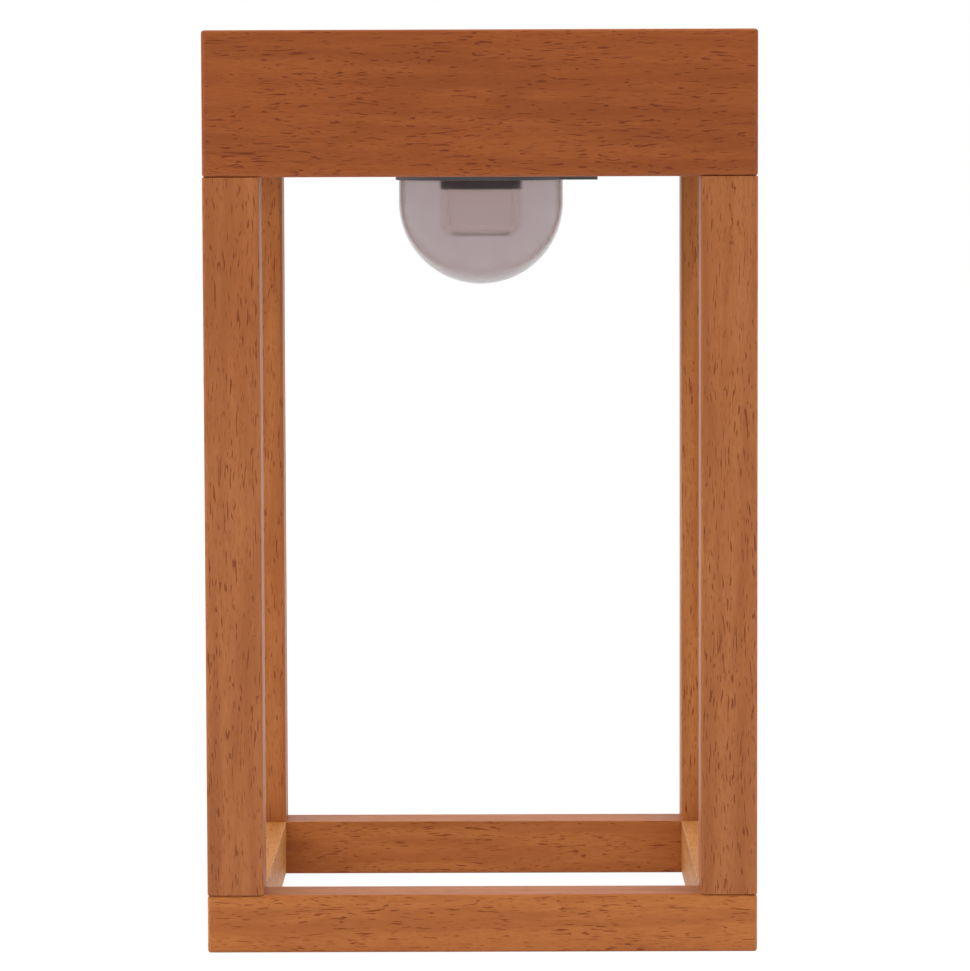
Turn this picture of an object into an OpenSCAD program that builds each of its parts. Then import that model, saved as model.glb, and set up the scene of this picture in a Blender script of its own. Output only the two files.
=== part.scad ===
// Solar table lantern: a square beech frame with a lift-out lamp unit in its top box.
// The unit holds a solar panel, a rechargeable cell, a control board and a domed lamp.
// Millimetres, +Z up, origin at the centre of the base, front of the lantern towards -Y.

/* [Wood frame] */
// Outside width and depth of the lantern
frame_w = 180; // [162:1:230]
// Side of each square post, and thickness of the rails and boards
post_w = 18.5; // [15:0.5:22]
// Height of the base rails
rail_h = 19; // [16:0.5:30]
// Length of each post between the rails and the boards
post_l = 234.5; // [150:0.5:320]
// Height of the top boards
board_h = 47.5; // [45:0.5:80]
// Rounding of the posts and of the outside corners
edge_r = 1.2; // [0.6:0.1:3]
// Diameter of the dowels
dowel_d = 6; // [4:0.5:8]
// Length of the dowels
dowel_l = 30; // [20:1:34]
// Length of each dowel that sits in the post
dowel_in_post = 16; // [10:1:20]
// Glue gap around and at the ends of a dowel
glue_gap = 0.05; // [0.02:0.01:0.2]
// Width of the ledge that carries the lamp unit
ledge_w = 5; // [3:0.5:7]
// Depth of the ledge below the top of the boards
ledge_h = 5; // [4:0.5:8]

/* [Lamp unit casing] */
// Gap between the lamp unit and the inside of the boards
unit_gap = 0.5; // [0.3:0.1:1.5]
// Gap between the bezel and the sides of its rebate
seat_gap = 0.3; // [0.2:0.1:1]
// How far the bezel lies below the top of the boards
bezel_recess = 0.5; // [0:0.1:1.5]
// Rounding of the bezel's corners
bezel_r = 3; // [1.5:0.5:6]
// Wall thickness of the bezel skirt and the housing
shell_t = 2; // [1.5:0.1:3]
// Thickness of the bezel wall beside the glass
pocket_wall = 1.3; // [0.8:0.1:2]
// Width of the shelf that the panel lies on
shelf_w = 5; // [3:0.5:8]
// Thickness of that shelf
shelf_t = 2; // [1.2:0.1:3]
// Height of the bezel skirt below the ledge
skirt_h = 9.2; // [8.5:0.1:14]
// Thickness of the gasket between skirt and housing
rim_gasket_t = 0.8; // [0.5:0.1:1.5]
// Thickness of the housing floor
floor_t = 2; // [1.5:0.1:3]
// Height of the floor's underside above the bottom of the boards
floor_up = 2; // [1.5:0.1:5]
// Side of the square corner posts that take the housing screws
corner_post = 12; // [10:0.5:14]
// Length of the boss above a housing screw's head
screw_seat = 7; // [5:0.5:7.5]

/* [Dome and tab] */
// Outside diameter of the lamp dome
dome_d = 56.2; // [48:0.1:62]
// How far the dome hangs below the boards
dome_drop = 37.6; // [34:0.1:60]
// Wall thickness of the dome
dome_t = 1.6; // [1:0.1:2.5]
// Width of the dome's flange beyond its hole
flange_w = 2.4; // [2:0.1:4]
// Thickness of the dome's flange
flange_t = 2; // [1.5:0.1:3]
// Thickness of the dome's rubber seal
seal_t = 1; // [0.6:0.1:2]
// Gap around the dome where it passes the housing
dome_gap = 0.3; // [0.2:0.1:0.6]
// Wall of the collar around the dome
collar_t = 0.8; // [0.8:0.1:2]
// How far the collar and the tab reach below the boards
collar_drop = 2; // [1:0.1:5]
// How far the tab runs out beyond the dome
tab_l = 11.7; // [11.7:0.1:20]
// Width of the tab
tab_w = 18; // [14:0.5:30]

/* [Lamp inside the dome] */
// Diameter of the boss and of the inner diffuser
inner_d = 27.8; // [26:0.1:34]
// How far the boss reaches below the boards
boss_drop = 5.2; // [4:0.1:8]
// How far the inner diffuser reaches below the boards
inner_drop = 21; // [16:0.5:26]
// Wall thickness of the inner diffuser
inner_t = 1.2; // [0.8:0.1:2]
// Rounding of the inner diffuser's closed end
inner_round = 4; // [2:0.5:7]
// Thickness of the carrier plate
carrier_t = 2.5; // [2:0.1:4]
// Distance of the carrier screws outside the carrier plate's edge
ear_reach = 5; // [4.5:0.5:8]
// Number of light chips around the middle one
led_count = 6; // [3:1:6]

/* [Solar panel] */
// Thickness of the panel's glass
glass_t = 3; // [2:0.1:4]
// How far the glass lies below the bezel's top
glass_drop = 0.35; // [0.1:0.05:1]
// Thickness of the cells
cell_t = 0.3; // [0.2:0.05:0.5]
// Thickness of the tabbing ribbons
ribbon_t = 0.15; // [0.1:0.05:0.3]
// Width of the tabbing ribbons
ribbon_w = 1.6; // [1:0.1:3]
// Thickness of the panel's back board
back_t = 1.2; // [0.8:0.1:2]
// Thickness of the adhesive gasket under the panel
bed_t = 0.5; // [0.3:0.1:1]
// Gap around the glass in its pocket
glass_gap = 0.3; // [0.2:0.05:0.8]
// Bare margin between the cells and the edge of the glass
cell_margin = 5; // [3:0.5:12]
// Gap between neighbouring cells
cell_gap = 1.6; // [0.8:0.1:3]
// Rows of cells
cell_rows = 6; // [4:1:10]

/* [Battery] */
// Diameter of the rechargeable cell
battery_d = 18.4; // [14:0.1:18.6]
// Length of the cell without its raised terminal
battery_l = 64.6; // [48:0.1:66]
// Height of the raised terminal
nub_h = 0.6; // [0.4:0.1:1.2]
// Wall thickness of the battery holder
holder_t = 1.5; // [1:0.1:2.5]
// Gap around the cell in its holder
battery_gap = 0.3; // [0.2:0.05:0.6]
// Thickness of the contact strip
contact_t = 0.4; // [0.3:0.05:0.6]
// Length of the compressed contact spring
spring_l = 2.8; // [2.4:0.1:5]
// Thickness of the battery door
door_t = 1.4; // [1.2:0.1:1.8]
// Thickness of the door's gasket
door_gasket_t = 0.6; // [0.2:0.1:0.6]
// How far the door reaches past the compartment along each long side
door_lap = 4.5; // [3.5:0.5:6]

/* [Circuit boards] */
// Thickness of the circuit boards
pcb_t = 1.6; // [1:0.1:2]
// Length of the control board
control_l = 64; // [56:1:80]
// Width of the control board
control_w = 22; // [20:0.5:28]
// Height of the posts under the control board
control_post_h = 5; // [4:0.5:8]
// Diameter of the posts under the boards
pcb_post_d = 5.2; // [4:0.1:6]
// Space between the housing wall and the pieces along it
wall_gap = 2; // [1:0.5:4]
// Diameter of the insulated wires
wire_d = 1.3; // [0.8:0.1:1.6]

/* [Push button] */
// Diameter of the push button
button_d = 6.4; // [5:0.1:7]
// Running gap between the button and its hole
button_gap = 0.08; // [0.05:0.01:0.1]
// Travel of the button
button_travel = 0.8; // [0.4:0.1:1.2]
// How far the button's face lies inside the tab
button_recess = 0.4; // [0:0.1:1]
// Width of the button's retaining flange
button_flange_w = 0.7; // [0.5:0.1:0.7]
// Diameter of the switch plunger and the button's stem
plunger_d = 3; // [2.4:0.1:3.4]

/* [Hidden] */
$fn = 64;

// A cutting shape reaches this far past the face that it opens, and a countersink this far
past = 1;
skim = 0.001;

// Heights of the frame
box_z = rail_h + post_l;
top_z = box_z + board_h;
ledge_z = top_z - ledge_h;

// Half widths, from the middle of the lantern outwards
open_half = frame_w / 2 - post_w;
post_at = frame_w / 2 - post_w / 2;
rebate_half = open_half + ledge_w;
bezel_half = rebate_half - seat_gap;
unit_half = open_half - unit_gap;
inside_half = unit_half - shell_t;
pocket_half = unit_half - pocket_wall;
glass_half = pocket_half - glass_gap;
window_half = pocket_half - shelf_w;

// Heights of the casing and the panel, from the top down
bezel_z = top_z - bezel_recess;
glass_z = bezel_z - glass_drop - glass_t;
cell_z = glass_z - ribbon_t - cell_t;
back_z = cell_z - back_t;
shelf_z = back_z - bed_t;
skirt_z = ledge_z - skirt_h;
tub_top_z = skirt_z - rim_gasket_t;

// Corners of the glass, and how far the gaskets lie in from the edges they seal
glass_r = 1;
gasket_in = 0.4;
rim_gasket_in = 0.2;

// One solar cell, in two columns of rows
cells_span = 2 * (glass_half - cell_margin);
cell_l = (cells_span - cell_gap) / 2;
cell_w = (cells_span + cell_gap) / cell_rows - cell_gap;

// Heights of the housing floor, the dome and the lamp
floor_z = box_z + floor_up;
deck_z = floor_z + floor_t;
collar_z = box_z - collar_drop;
dome_r = dome_d / 2;
dome_end_z = box_z - dome_drop;
dome_mid_z = dome_end_z + dome_r;
hole_r = dome_r + dome_gap;
flange_r = hole_r + flange_w;
flange_z = deck_z + seal_t;
carrier_z = flange_z + flange_t;
carrier_top_z = carrier_z + carrier_t;
boss_z = box_z - boss_drop;
inner_end_z = box_z - inner_drop;

// The boss, the light board in it and the inner diffuser's spigot
boss_wall = 1.7;
boss_bore_r = inner_d / 2 - boss_wall;
spigot_gap = 0.1;
spigot_r = boss_bore_r - spigot_gap;
spigot_t = 1;
spigot_h = 2.2;
led_pcb_t = 1.2;
led_pcb_z = boss_z + spigot_h;
web_z = led_pcb_z + led_pcb_t;
web_t = 2;
wire_hole_r = 2.6;
led_size = [3.5, 2.8, 0.7];
led_ring_r = 7.2;

// Carrier screws sit on ears, clear of the tab's side
ear_r = 4;
ear_at = flange_r + ear_reach;
ear_angles = [60, 180, 300];

// Screws: shank diameter, length, head diameter, head height
m3 = [3, 12, 5.6, 2.2];
m25 = [2.5, 6, 4.4, 1.6];
m2 = [2, 6, 3.8, 1.3];
door_screw = [2.5, 8, 4.4, 1.1];
thread_gap = 0.05;
free_gap = 0.2;
head_gap = 0.45;

// Corner posts of the housing and the bezel
post_bite = 1;
corner_at = unit_half - post_bite - corner_post / 2;
screw_seat_z = tub_top_z - screw_seat;

// Tab and push button
tab_end = dome_r + tab_l;
tab_wall = 1.5;
button_r = button_d / 2;
button_x = tab_end - tab_wall - button_gap - button_r;
button_z = collar_z + button_recess;
button_seat_up = 0.5;
button_seat_z = floor_z + button_seat_up;
button_flange_t = 0.8;
button_flange_r = button_r + button_flange_w;
button_well_gap = 0.3;
plunger_r = plunger_d / 2;
switch_size = [6.2, 6.2, 4];
switch_up = 4.4;
switch_z = deck_z + switch_up;
plunger_out = 1.2;
plunger_in = 0.8;

// Switch board
switch_pcb_z = switch_z + switch_size[2];
switch_pcb = [17, 26];
switch_pcb_in = 4;
switch_pcb_x = button_x - switch_pcb_in;
switch_post_x = switch_pcb_x + switch_pcb[0] - switch_pcb_in;
switch_post_y = 9.5;

// Battery compartment along the rear wall
contact_w = 12;
contact_h = 14;
bay_l = 2 * contact_t + spring_l + battery_l + nub_h;
bay_w = battery_d + 2 * battery_gap;
bay_y = inside_half - wall_gap - holder_t - bay_w / 2;
battery_up = 0.6;
battery_mid_z = deck_z + battery_up + battery_d / 2;
bay_top_z = battery_mid_z + battery_d / 2 + battery_gap;
holder_top_z = bay_top_z + holder_t;
tab_slot = [0.8, 3.4];
tab_up = 2.2;
tab_strip_w = 3;
nub_d = 8;
battery_x = -bay_l / 2 + contact_t + spring_l;
spring_wire = 0.6;
spring_turns = 3;
spring_r = 5;
spring_end_r = 3.2;
door_boss_d = 7;
door_boss_gap = 3;
door_screw_x = bay_l / 2 + holder_t + door_boss_gap + door_boss_d / 2;
door_boss_h = 6;
door_z = floor_z - door_gasket_t - door_t;
door_end = 4;
door_l = 2 * (door_screw_x + door_end);
door_w = bay_w + 2 * door_lap;
door_r = 2;
door_gasket_in = 0.5;
pad_l = 40;
pad_w = 12;

// Control board along the front wall
control_y = -(inside_half - wall_gap - control_w / 2);
control_z = deck_z + control_post_h;
control_top_z = control_z + pcb_t;
control_hole_x = 4;
control_hole_y = 3.2;
control_post_x = control_l / 2 - control_hole_x;
control_post_y = control_w / 2 - control_hole_y;
plug_size = [7.4, 5.8, 6];
plug_in = 5.6;
plug_y = control_y + control_w / 2 - plug_in;
plug_xs = [-21, -7, 7, 21];
driver_chip = [6, 5, 1.6];
driver_x = -15;
charger_chip = [5, 4.4, 1.5];
charger_x = 7;
coil_d = 7;
coil_h = 4;
coil_x = -2.5;
capacitor_d = 5;
capacitor_h = 6;
capacitor_xs = [16, 21.8];
small_chip = [1.3, 2.2, 0.9];
small_chip_xs = [-20, -17.6, 3.2];
chip_row_y = control_y - control_w / 4;
chip_side = 2;
plug_top_z = control_top_z + plug_size[2];

// Junction box under the panel
junction_size = [24, 16, 5];
junction_y = -24;
junction_z = back_z - junction_size[2];

// Wires: two side by side from each connector, in smooth bends
wire_side = 1;
wire_off = 0.2;
wire_rise = 5;
wire_bend = 4;
wire_steps = 4;
wire_sides = 8;
switch_lead_x = switch_post_x - 6;
switch_lead_y = -3;

// Colours
wire_red = [0.7, 0.1, 0.1];
wire_black = [0.1, 0.1, 0.1];
beech_post = [0.66, 0.41, 0.25];
beech_board = [0.61, 0.35, 0.21];
beech_rail = [0.68, 0.42, 0.25];
dowel_wood = [0.80, 0.64, 0.44];
dark_plastic = [0.24, 0.25, 0.27];
rubber_black = [0.10, 0.10, 0.11];
pcb_green = [0.09, 0.33, 0.20];
steel = [0.72, 0.73, 0.75];
smoke = [0.66, 0.61, 0.61, 0.45];
frost = [0.86, 0.82, 0.79, 0.8];

// A square with rounded corners, around the middle
module soft_square(side, r) {
    soft_rect(side, side, r);
}

// A rectangle with rounded corners, around the middle
module soft_rect(l, w, r) {
    square([l - 2 * r, w], center = true);
    square([l, w - 2 * r], center = true);
    for (x = [-1, 1], y = [-1, 1])
        translate([x * (l / 2 - r), y * (w / 2 - r)]) circle(r);
}

// Places its children at four corners
module at_corners(x, y) {
    for (i = [-1, 1], j = [-1, 1]) translate([i * x, j * y, 0]) children();
}

// A screw that points down, its seat at the origin
module screw(size) {
    translate([0, 0, -size[1]]) cylinder(d = size[0], h = size[1]);
    difference() {
        cylinder(d = size[2], h = size[3]);
        translate([0, 0, size[3] / 2]) cylinder(d = size[2] / 2, h = size[3], $fn = 6);
    }
}

// One side of a mitred square ring in plan, in front when it isn't turned
module ring_side(turn) {
    rotate([0, 0, turn]) intersection() {
        difference() {
            soft_square(frame_w, edge_r);
            square(2 * open_half, center = true);
        }
        polygon([[0, 0], [-frame_w, -frame_w], [frame_w, -frame_w]]);
    }
}

// Holes or dowels at the four corners of the frame
module dowel_row(z, h, r) {
    at_corners(post_at, post_at) translate([0, 0, z]) cylinder(r = r, h = h);
}

module rail(turn) {
    color(beech_rail) difference() {
        linear_extrude(rail_h) ring_side(turn);
        dowel_row(rail_h - (dowel_l - dowel_in_post) - glue_gap, dowel_l, dowel_d / 2 + glue_gap);
    }
}

module post(x, y) {
    color(beech_post) difference() {
        translate([x * post_at, y * post_at, rail_h])
            linear_extrude(post_l) soft_square(post_w, edge_r);
        dowel_row(rail_h - past, dowel_in_post + past + glue_gap, dowel_d / 2 + glue_gap);
        dowel_row(box_z - dowel_in_post - glue_gap, dowel_in_post + past, dowel_d / 2 + glue_gap);
    }
}

module board(turn) {
    color(beech_board) difference() {
        translate([0, 0, box_z]) linear_extrude(board_h) ring_side(turn);
        translate([0, 0, ledge_z]) linear_extrude(ledge_h + past)
            square(2 * rebate_half, center = true);
        dowel_row(box_z - past, dowel_l - dowel_in_post + past + glue_gap, dowel_d / 2 + glue_gap);
    }
}

module base_front_rail() { rail(0); }
module base_right_rail() { rail(90); }
module base_rear_rail() { rail(180); }
module base_left_rail() { rail(270); }
module post_front_left() { post(-1, -1); }
module post_front_right() { post(1, -1); }
module post_rear_left() { post(-1, 1); }
module post_rear_right() { post(1, 1); }
module top_front_board() { board(0); }
module top_right_board() { board(90); }
module top_rear_board() { board(180); }
module top_left_board() { board(270); }

module base_dowels() {
    color(dowel_wood) dowel_row(rail_h - (dowel_l - dowel_in_post), dowel_l, dowel_d / 2);
}

module top_dowels() {
    color(dowel_wood) dowel_row(box_z - dowel_in_post, dowel_l, dowel_d / 2);
}

// The frame around the glass, with the lip that rests on the ledge
module panel_bezel() {
    color(dark_plastic) difference() {
        union() {
            difference() {
                union() {
                    translate([0, 0, ledge_z]) linear_extrude(bezel_z - ledge_z)
                        soft_square(2 * bezel_half, bezel_r);
                    translate([0, 0, skirt_z]) linear_extrude(skirt_h)
                        soft_square(2 * unit_half, shell_t);
                }
                translate([0, 0, shelf_z]) linear_extrude(bezel_z - shelf_z + past)
                    square(2 * pocket_half, center = true);
                translate([0, 0, skirt_z - past]) linear_extrude(shelf_z - skirt_z + 2 * past)
                    square(2 * window_half, center = true);
                translate([0, 0, skirt_z - past]) linear_extrude(shelf_z - shelf_t - skirt_z + past)
                    square(2 * inside_half, center = true);
            }
            at_corners(corner_at, corner_at) translate([0, 0, skirt_z])
                linear_extrude(shelf_z - skirt_z - shelf_t / 2) square(corner_post, center = true);
        }
        at_corners(corner_at, corner_at) translate([0, 0, skirt_z - past])
            cylinder(d = m3[0] + 2 * thread_gap, h = screw_seat_z + m3[1] + free_gap - skirt_z + past);
    }
}

module solar_glass() {
    color([0.55, 0.62, 0.68, 0.35]) translate([0, 0, glass_z])
        linear_extrude(glass_t) soft_square(2 * glass_half, glass_r);
}

module solar_cells() {
    color([0.07, 0.09, 0.20]) translate([0, 0, cell_z]) for (i = [-1, 1], j = [0:cell_rows - 1])
        translate([
            i * (cell_l + cell_gap) / 2,
            (j - (cell_rows - 1) / 2) * (cell_w + cell_gap),
            0
        ]) linear_extrude(cell_t) square([cell_l, cell_w], center = true);
}

// Two flat strips along each column of cells
module cell_ribbons() {
    color(steel) translate([0, 0, cell_z + cell_t]) for (i = [-1, 1], j = [-1, 1])
        translate([i * (cell_l + cell_gap) / 2 + j * cell_l / 4, 0, 0])
            linear_extrude(ribbon_t) square([ribbon_w, cells_span], center = true);
}

module panel_backsheet() {
    color([0.85, 0.86, 0.85]) translate([0, 0, back_z])
        linear_extrude(back_t) soft_square(2 * glass_half, glass_r);
}

module panel_gasket() {
    color(rubber_black) translate([0, 0, shelf_z]) linear_extrude(bed_t) difference() {
        square(2 * (glass_half - gasket_in), center = true);
        square(2 * (window_half + gasket_in), center = true);
    }
}

module junction_box() {
    color(rubber_black) translate([0, junction_y, junction_z])
        linear_extrude(junction_size[2]) soft_rect(junction_size[0], junction_size[1], 1.5);
}

// The tub below the bezel, with the collar and the tab under its floor
module module_housing() {
    color(dark_plastic) difference() {
        union() {
            difference() {
                translate([0, 0, floor_z]) linear_extrude(tub_top_z - floor_z)
                    soft_square(2 * unit_half, shell_t);
                translate([0, 0, deck_z]) linear_extrude(tub_top_z - deck_z + past)
                    square(2 * inside_half, center = true);
            }
            at_corners(corner_at, corner_at) translate([0, 0, floor_z + floor_t / 2])
                linear_extrude(tub_top_z - floor_z - floor_t / 2) square(corner_post, center = true);
            translate([0, 0, collar_z])
                cylinder(r = hole_r + collar_t, h = deck_z - collar_z - floor_t / 2);
            translate([0, -tab_w / 2, collar_z])
                cube([tab_end, tab_w, deck_z - collar_z - floor_t / 2]);
            for (a = ear_angles) rotate([0, 0, a]) translate([ear_at, 0, floor_z + floor_t / 2])
                cylinder(r = ear_r, h = carrier_z - floor_z - floor_t / 2);
            for (y = [-1, 1]) translate([switch_post_x, y * switch_post_y, floor_z + floor_t / 2])
                cylinder(d = pcb_post_d, h = switch_pcb_z - floor_z - floor_t / 2);
            translate([0, control_y, floor_z + floor_t / 2]) at_corners(control_post_x, control_post_y)
                cylinder(d = pcb_post_d, h = control_z - floor_z - floor_t / 2);
            for (x = [-1, 1]) translate([x * door_screw_x, bay_y, floor_z + floor_t / 2])
                cylinder(d = door_boss_d, h = door_boss_h + floor_t / 2);
        }
        translate([0, 0, collar_z - past]) cylinder(r = hole_r, h = carrier_z - collar_z + past);
        translate([button_x, 0, collar_z - past])
            cylinder(r = button_r + button_gap, h = deck_z - collar_z + past);
        translate([button_x, 0, button_seat_z])
            cylinder(r = button_flange_r + button_well_gap, h = deck_z - button_seat_z + past);
        translate([0, bay_y, floor_z - past]) linear_extrude(floor_t + 2 * past)
            square([bay_l, bay_w], center = true);
        at_corners(corner_at, corner_at) {
            translate([0, 0, floor_z - past])
                cylinder(d = m3[2] + 2 * head_gap, h = screw_seat_z - floor_z + past);
            translate([0, 0, screw_seat_z - past])
                cylinder(d = m3[0] + 2 * free_gap, h = screw_seat + 2 * past);
        }
        for (a = ear_angles) rotate([0, 0, a]) translate([ear_at, 0, carrier_top_z - m25[1] - free_gap])
            cylinder(d = m25[0] + 2 * thread_gap, h = m25[1]);
        for (y = [-1, 1])
            translate([switch_post_x, y * switch_post_y, switch_pcb_z + pcb_t - m2[1] - free_gap])
                cylinder(d = m2[0] + 2 * thread_gap, h = m2[1]);
        translate([0, control_y, control_top_z - m2[1] - free_gap])
            at_corners(control_post_x, control_post_y)
                cylinder(d = m2[0] + 2 * thread_gap, h = m2[1]);
        for (x = [-1, 1]) translate([x * door_screw_x, bay_y, floor_z - past]) cylinder(
            d = door_screw[0] + 2 * thread_gap,
            h = door_z + door_screw[1] + free_gap - floor_z + past
        );
    }
}

module housing_gasket() {
    color(rubber_black) translate([0, 0, tub_top_z]) linear_extrude(rim_gasket_t) difference() {
        soft_square(2 * (unit_half - rim_gasket_in), shell_t);
        square(2 * (inside_half + rim_gasket_in), center = true);
    }
}

// Driven up from the bottom of the housing into the bezel
module housing_screws() {
    color(steel) at_corners(corner_at, corner_at) translate([0, 0, screw_seat_z])
        rotate([180, 0, 0]) screw(m3);
}

// Outline of a round-ended cup in half section, from its flange down to its end
module cup_section(r, mid_z, up_z) {
    intersection() {
        translate([0, mid_z]) circle(r, $fn = 128);
        translate([0, mid_z - r - past]) square([r + past, r + past]);
    }
    translate([0, mid_z]) square([r, up_z - mid_z]);
}

module dome_diffuser() {
    color(smoke) rotate_extrude($fn = 128) difference() {
        union() {
            cup_section(dome_r, dome_mid_z, carrier_z);
            translate([0, flange_z]) square([flange_r, flange_t]);
        }
        cup_section(dome_r - dome_t, dome_mid_z, carrier_z + past);
    }
}

module dome_seal() {
    color(rubber_black) translate([0, 0, deck_z]) difference() {
        cylinder(r = flange_r, h = seal_t);
        translate([0, 0, -past]) cylinder(r = hole_r, h = seal_t + 2 * past);
    }
}

// Plate that clamps the dome, with the hollow boss that holds the light board
module led_carrier() {
    color(dark_plastic) difference() {
        union() {
            translate([0, 0, carrier_z]) linear_extrude(carrier_t) {
                circle(flange_r);
                for (a = ear_angles) rotate([0, 0, a]) {
                    translate([0, -ear_r]) square([ear_at, 2 * ear_r]);
                    translate([ear_at, 0]) circle(ear_r);
                }
            }
            translate([0, 0, boss_z]) cylinder(d = inner_d, h = carrier_z - boss_z + carrier_t / 2);
        }
        translate([0, 0, boss_z - past]) cylinder(r = boss_bore_r, h = web_z - boss_z + past);
        translate([0, 0, web_z + web_t]) cylinder(r = boss_bore_r, h = carrier_top_z - web_z);
        translate([0, 0, web_z - past]) cylinder(r = wire_hole_r, h = web_t + 2 * past);
        for (a = ear_angles) rotate([0, 0, a]) translate([ear_at, 0, carrier_z - past])
            cylinder(d = m25[0] + 2 * free_gap, h = carrier_t + 2 * past);
    }
}

module carrier_screws() {
    color(steel) for (a = ear_angles) rotate([0, 0, a])
        translate([ear_at, 0, carrier_top_z]) screw(m25);
}

module led_board() {
    color([0.92, 0.92, 0.9]) translate([0, 0, led_pcb_z]) cylinder(r = spigot_r, h = led_pcb_t);
}

module leds() {
    color([0.95, 0.85, 0.35]) translate([0, 0, led_pcb_z - led_size[2]]) {
        translate([-led_size[0] / 2, -led_size[1] / 2, 0]) cube(led_size);
        for (i = [0:led_count - 1]) rotate([0, 0, i * 360 / led_count])
            translate([led_ring_r - led_size[0] / 2, -led_size[1] / 2, 0]) cube(led_size);
    }
}

// Outline of a flat-ended cup with a rounded rim, in half section
module pot_section(r, round_r, end_z, up_z) {
    translate([0, end_z]) square([r - round_r, up_z - end_z]);
    translate([0, end_z + round_r]) square([r, up_z - end_z - round_r]);
    translate([r - round_r, end_z + round_r]) circle(round_r);
}

module inner_diffuser() {
    color(frost) rotate_extrude($fn = 96) difference() {
        union() {
            pot_section(inner_d / 2, inner_round, inner_end_z, boss_z);
            translate([0, boss_z - inner_t]) square([spigot_r, spigot_h + inner_t]);
        }
        pot_section(
            spigot_r - spigot_t,
            inner_round - inner_t,
            inner_end_z + inner_t,
            boss_z + spigot_h + past
        );
    }
}

// Round cell with a raised terminal, lying along X behind the dome
module battery_cell() {
    color([0.16, 0.42, 0.62]) translate([battery_x, bay_y, battery_mid_z]) rotate([0, 90, 0]) {
        cylinder(d = battery_d, h = battery_l);
        cylinder(d = nub_d, h = battery_l + nub_h);
    }
}

// Moulded compartment over the opening in the floor
module battery_holder() {
    color(rubber_black) difference() {
        translate([0, bay_y, deck_z]) linear_extrude(holder_top_z - deck_z)
            soft_rect(bay_l + 2 * holder_t, bay_w + 2 * holder_t, 1);
        translate([0, bay_y, deck_z - past]) linear_extrude(bay_top_z - deck_z + past)
            square([bay_l, bay_w], center = true);
        for (x = [-1, 1]) translate([x * (bay_l - contact_t) / 2, bay_y, bay_top_z - past])
            linear_extrude(holder_t + 2 * past) square(tab_slot, center = true);
    }
}

// Contact strip against an end wall, its solder tab through the roof
module contact_strip(x) {
    translate([x * (bay_l - contact_t) / 2, bay_y, 0]) {
        translate([-contact_t / 2, -contact_w / 2, battery_mid_z - contact_h / 2])
            cube([contact_t, contact_w, contact_h]);
        translate([-contact_t / 2, -tab_strip_w / 2, battery_mid_z])
            cube([contact_t, tab_strip_w, holder_top_z + tab_up - battery_mid_z]);
    }
}

module contact_plate() {
    color(steel) contact_strip(1);
}

// Points of a tapering coil from the strip to the cell's flat end
function coil_route(n) = [
    for (i = [0:n])
        let (u = i / n, r = spring_r + (spring_end_r - spring_r) * u, a = 360 * spring_turns * u)
            [u * (spring_l - spring_wire), r * cos(a), r * sin(a)]
];

module contact_spring() {
    color(steel) {
        contact_strip(-1);
        translate([-bay_l / 2 + contact_t + spring_wire / 2, bay_y, battery_mid_z])
            tube(coil_route(14 * spring_turns), spring_wire, 6, [1, 0, 0]);
    }
}

module battery_door() {
    color(dark_plastic) translate([0, bay_y, door_z]) difference() {
        linear_extrude(door_t) soft_rect(door_l, door_w, door_r);
        for (x = [-1, 1]) translate([x * door_screw_x, 0, 0]) {
            translate([0, 0, -past]) cylinder(d = door_screw[0] + 2 * free_gap, h = door_t + 2 * past);
            translate([0, 0, -skim]) cylinder(
                d1 = door_screw[2] + 2 * thread_gap,
                d2 = door_screw[0] + 2 * thread_gap,
                h = door_screw[3] + thread_gap
            );
        }
    }
}

module door_gasket() {
    color(rubber_black) translate([0, bay_y, floor_z - door_gasket_t]) linear_extrude(door_gasket_t)
        difference() {
            soft_rect(door_l - 2 * door_gasket_in, door_w - 2 * door_gasket_in, door_r);
            square([bay_l + 2 * door_gasket_in, bay_w + 2 * door_gasket_in], center = true);
            for (x = [-1, 1]) translate([x * door_screw_x, 0]) circle(d = door_screw[0] + 4 * free_gap);
        }
}

// Countersunk, driven up through the door
module door_screws() {
    color(steel) for (x = [-1, 1]) translate([x * door_screw_x, bay_y, door_z]) {
        cylinder(d = door_screw[0], h = door_screw[1]);
        difference() {
            cylinder(d1 = door_screw[2], d2 = door_screw[0], h = door_screw[3]);
            translate([0, 0, -past])
                cylinder(d = door_screw[0] / 2, h = past + door_screw[3] / 2, $fn = 6);
        }
    }
}

module battery_pad() {
    color([0.2, 0.2, 0.2]) translate([0, bay_y, door_z + door_t])
        linear_extrude(battery_mid_z - battery_d / 2 - free_gap - door_z - door_t)
            square([pad_l, pad_w], center = true);
}

module control_board() {
    color(pcb_green) translate([0, control_y, control_z]) difference() {
        linear_extrude(pcb_t) soft_rect(control_l, control_w, 1);
        at_corners(control_post_x, control_post_y) translate([0, 0, -past])
            cylinder(d = m2[0] + 2 * free_gap, h = pcb_t + 2 * past);
    }
}

// A driver chip, a charger chip, a coil, two round capacitors and small chips
module board_components() {
    translate([0, chip_row_y, control_top_z]) {
        color([0.12, 0.12, 0.13]) {
            translate([driver_x, -chip_side, 0]) cube(driver_chip);
            translate([charger_x, -chip_side, 0]) cube(charger_chip);
            translate([coil_x, 0, 0]) cylinder(d = coil_d, h = coil_h);
        }
        color([0.3, 0.32, 0.4]) for (x = capacitor_xs)
            translate([x, 0, 0]) cylinder(d = capacitor_d, h = capacitor_h);
        color([0.6, 0.5, 0.35]) for (x = small_chip_xs)
            translate([x, -chip_side, 0]) cube(small_chip);
    }
}

// Four plug-in wire connectors along the board's rear edge
module board_connectors() {
    color([0.93, 0.92, 0.88]) for (x = plug_xs) translate([x, plug_y, control_top_z])
        linear_extrude(plug_size[2]) square([plug_size[0], plug_size[1]], center = true);
}

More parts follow.
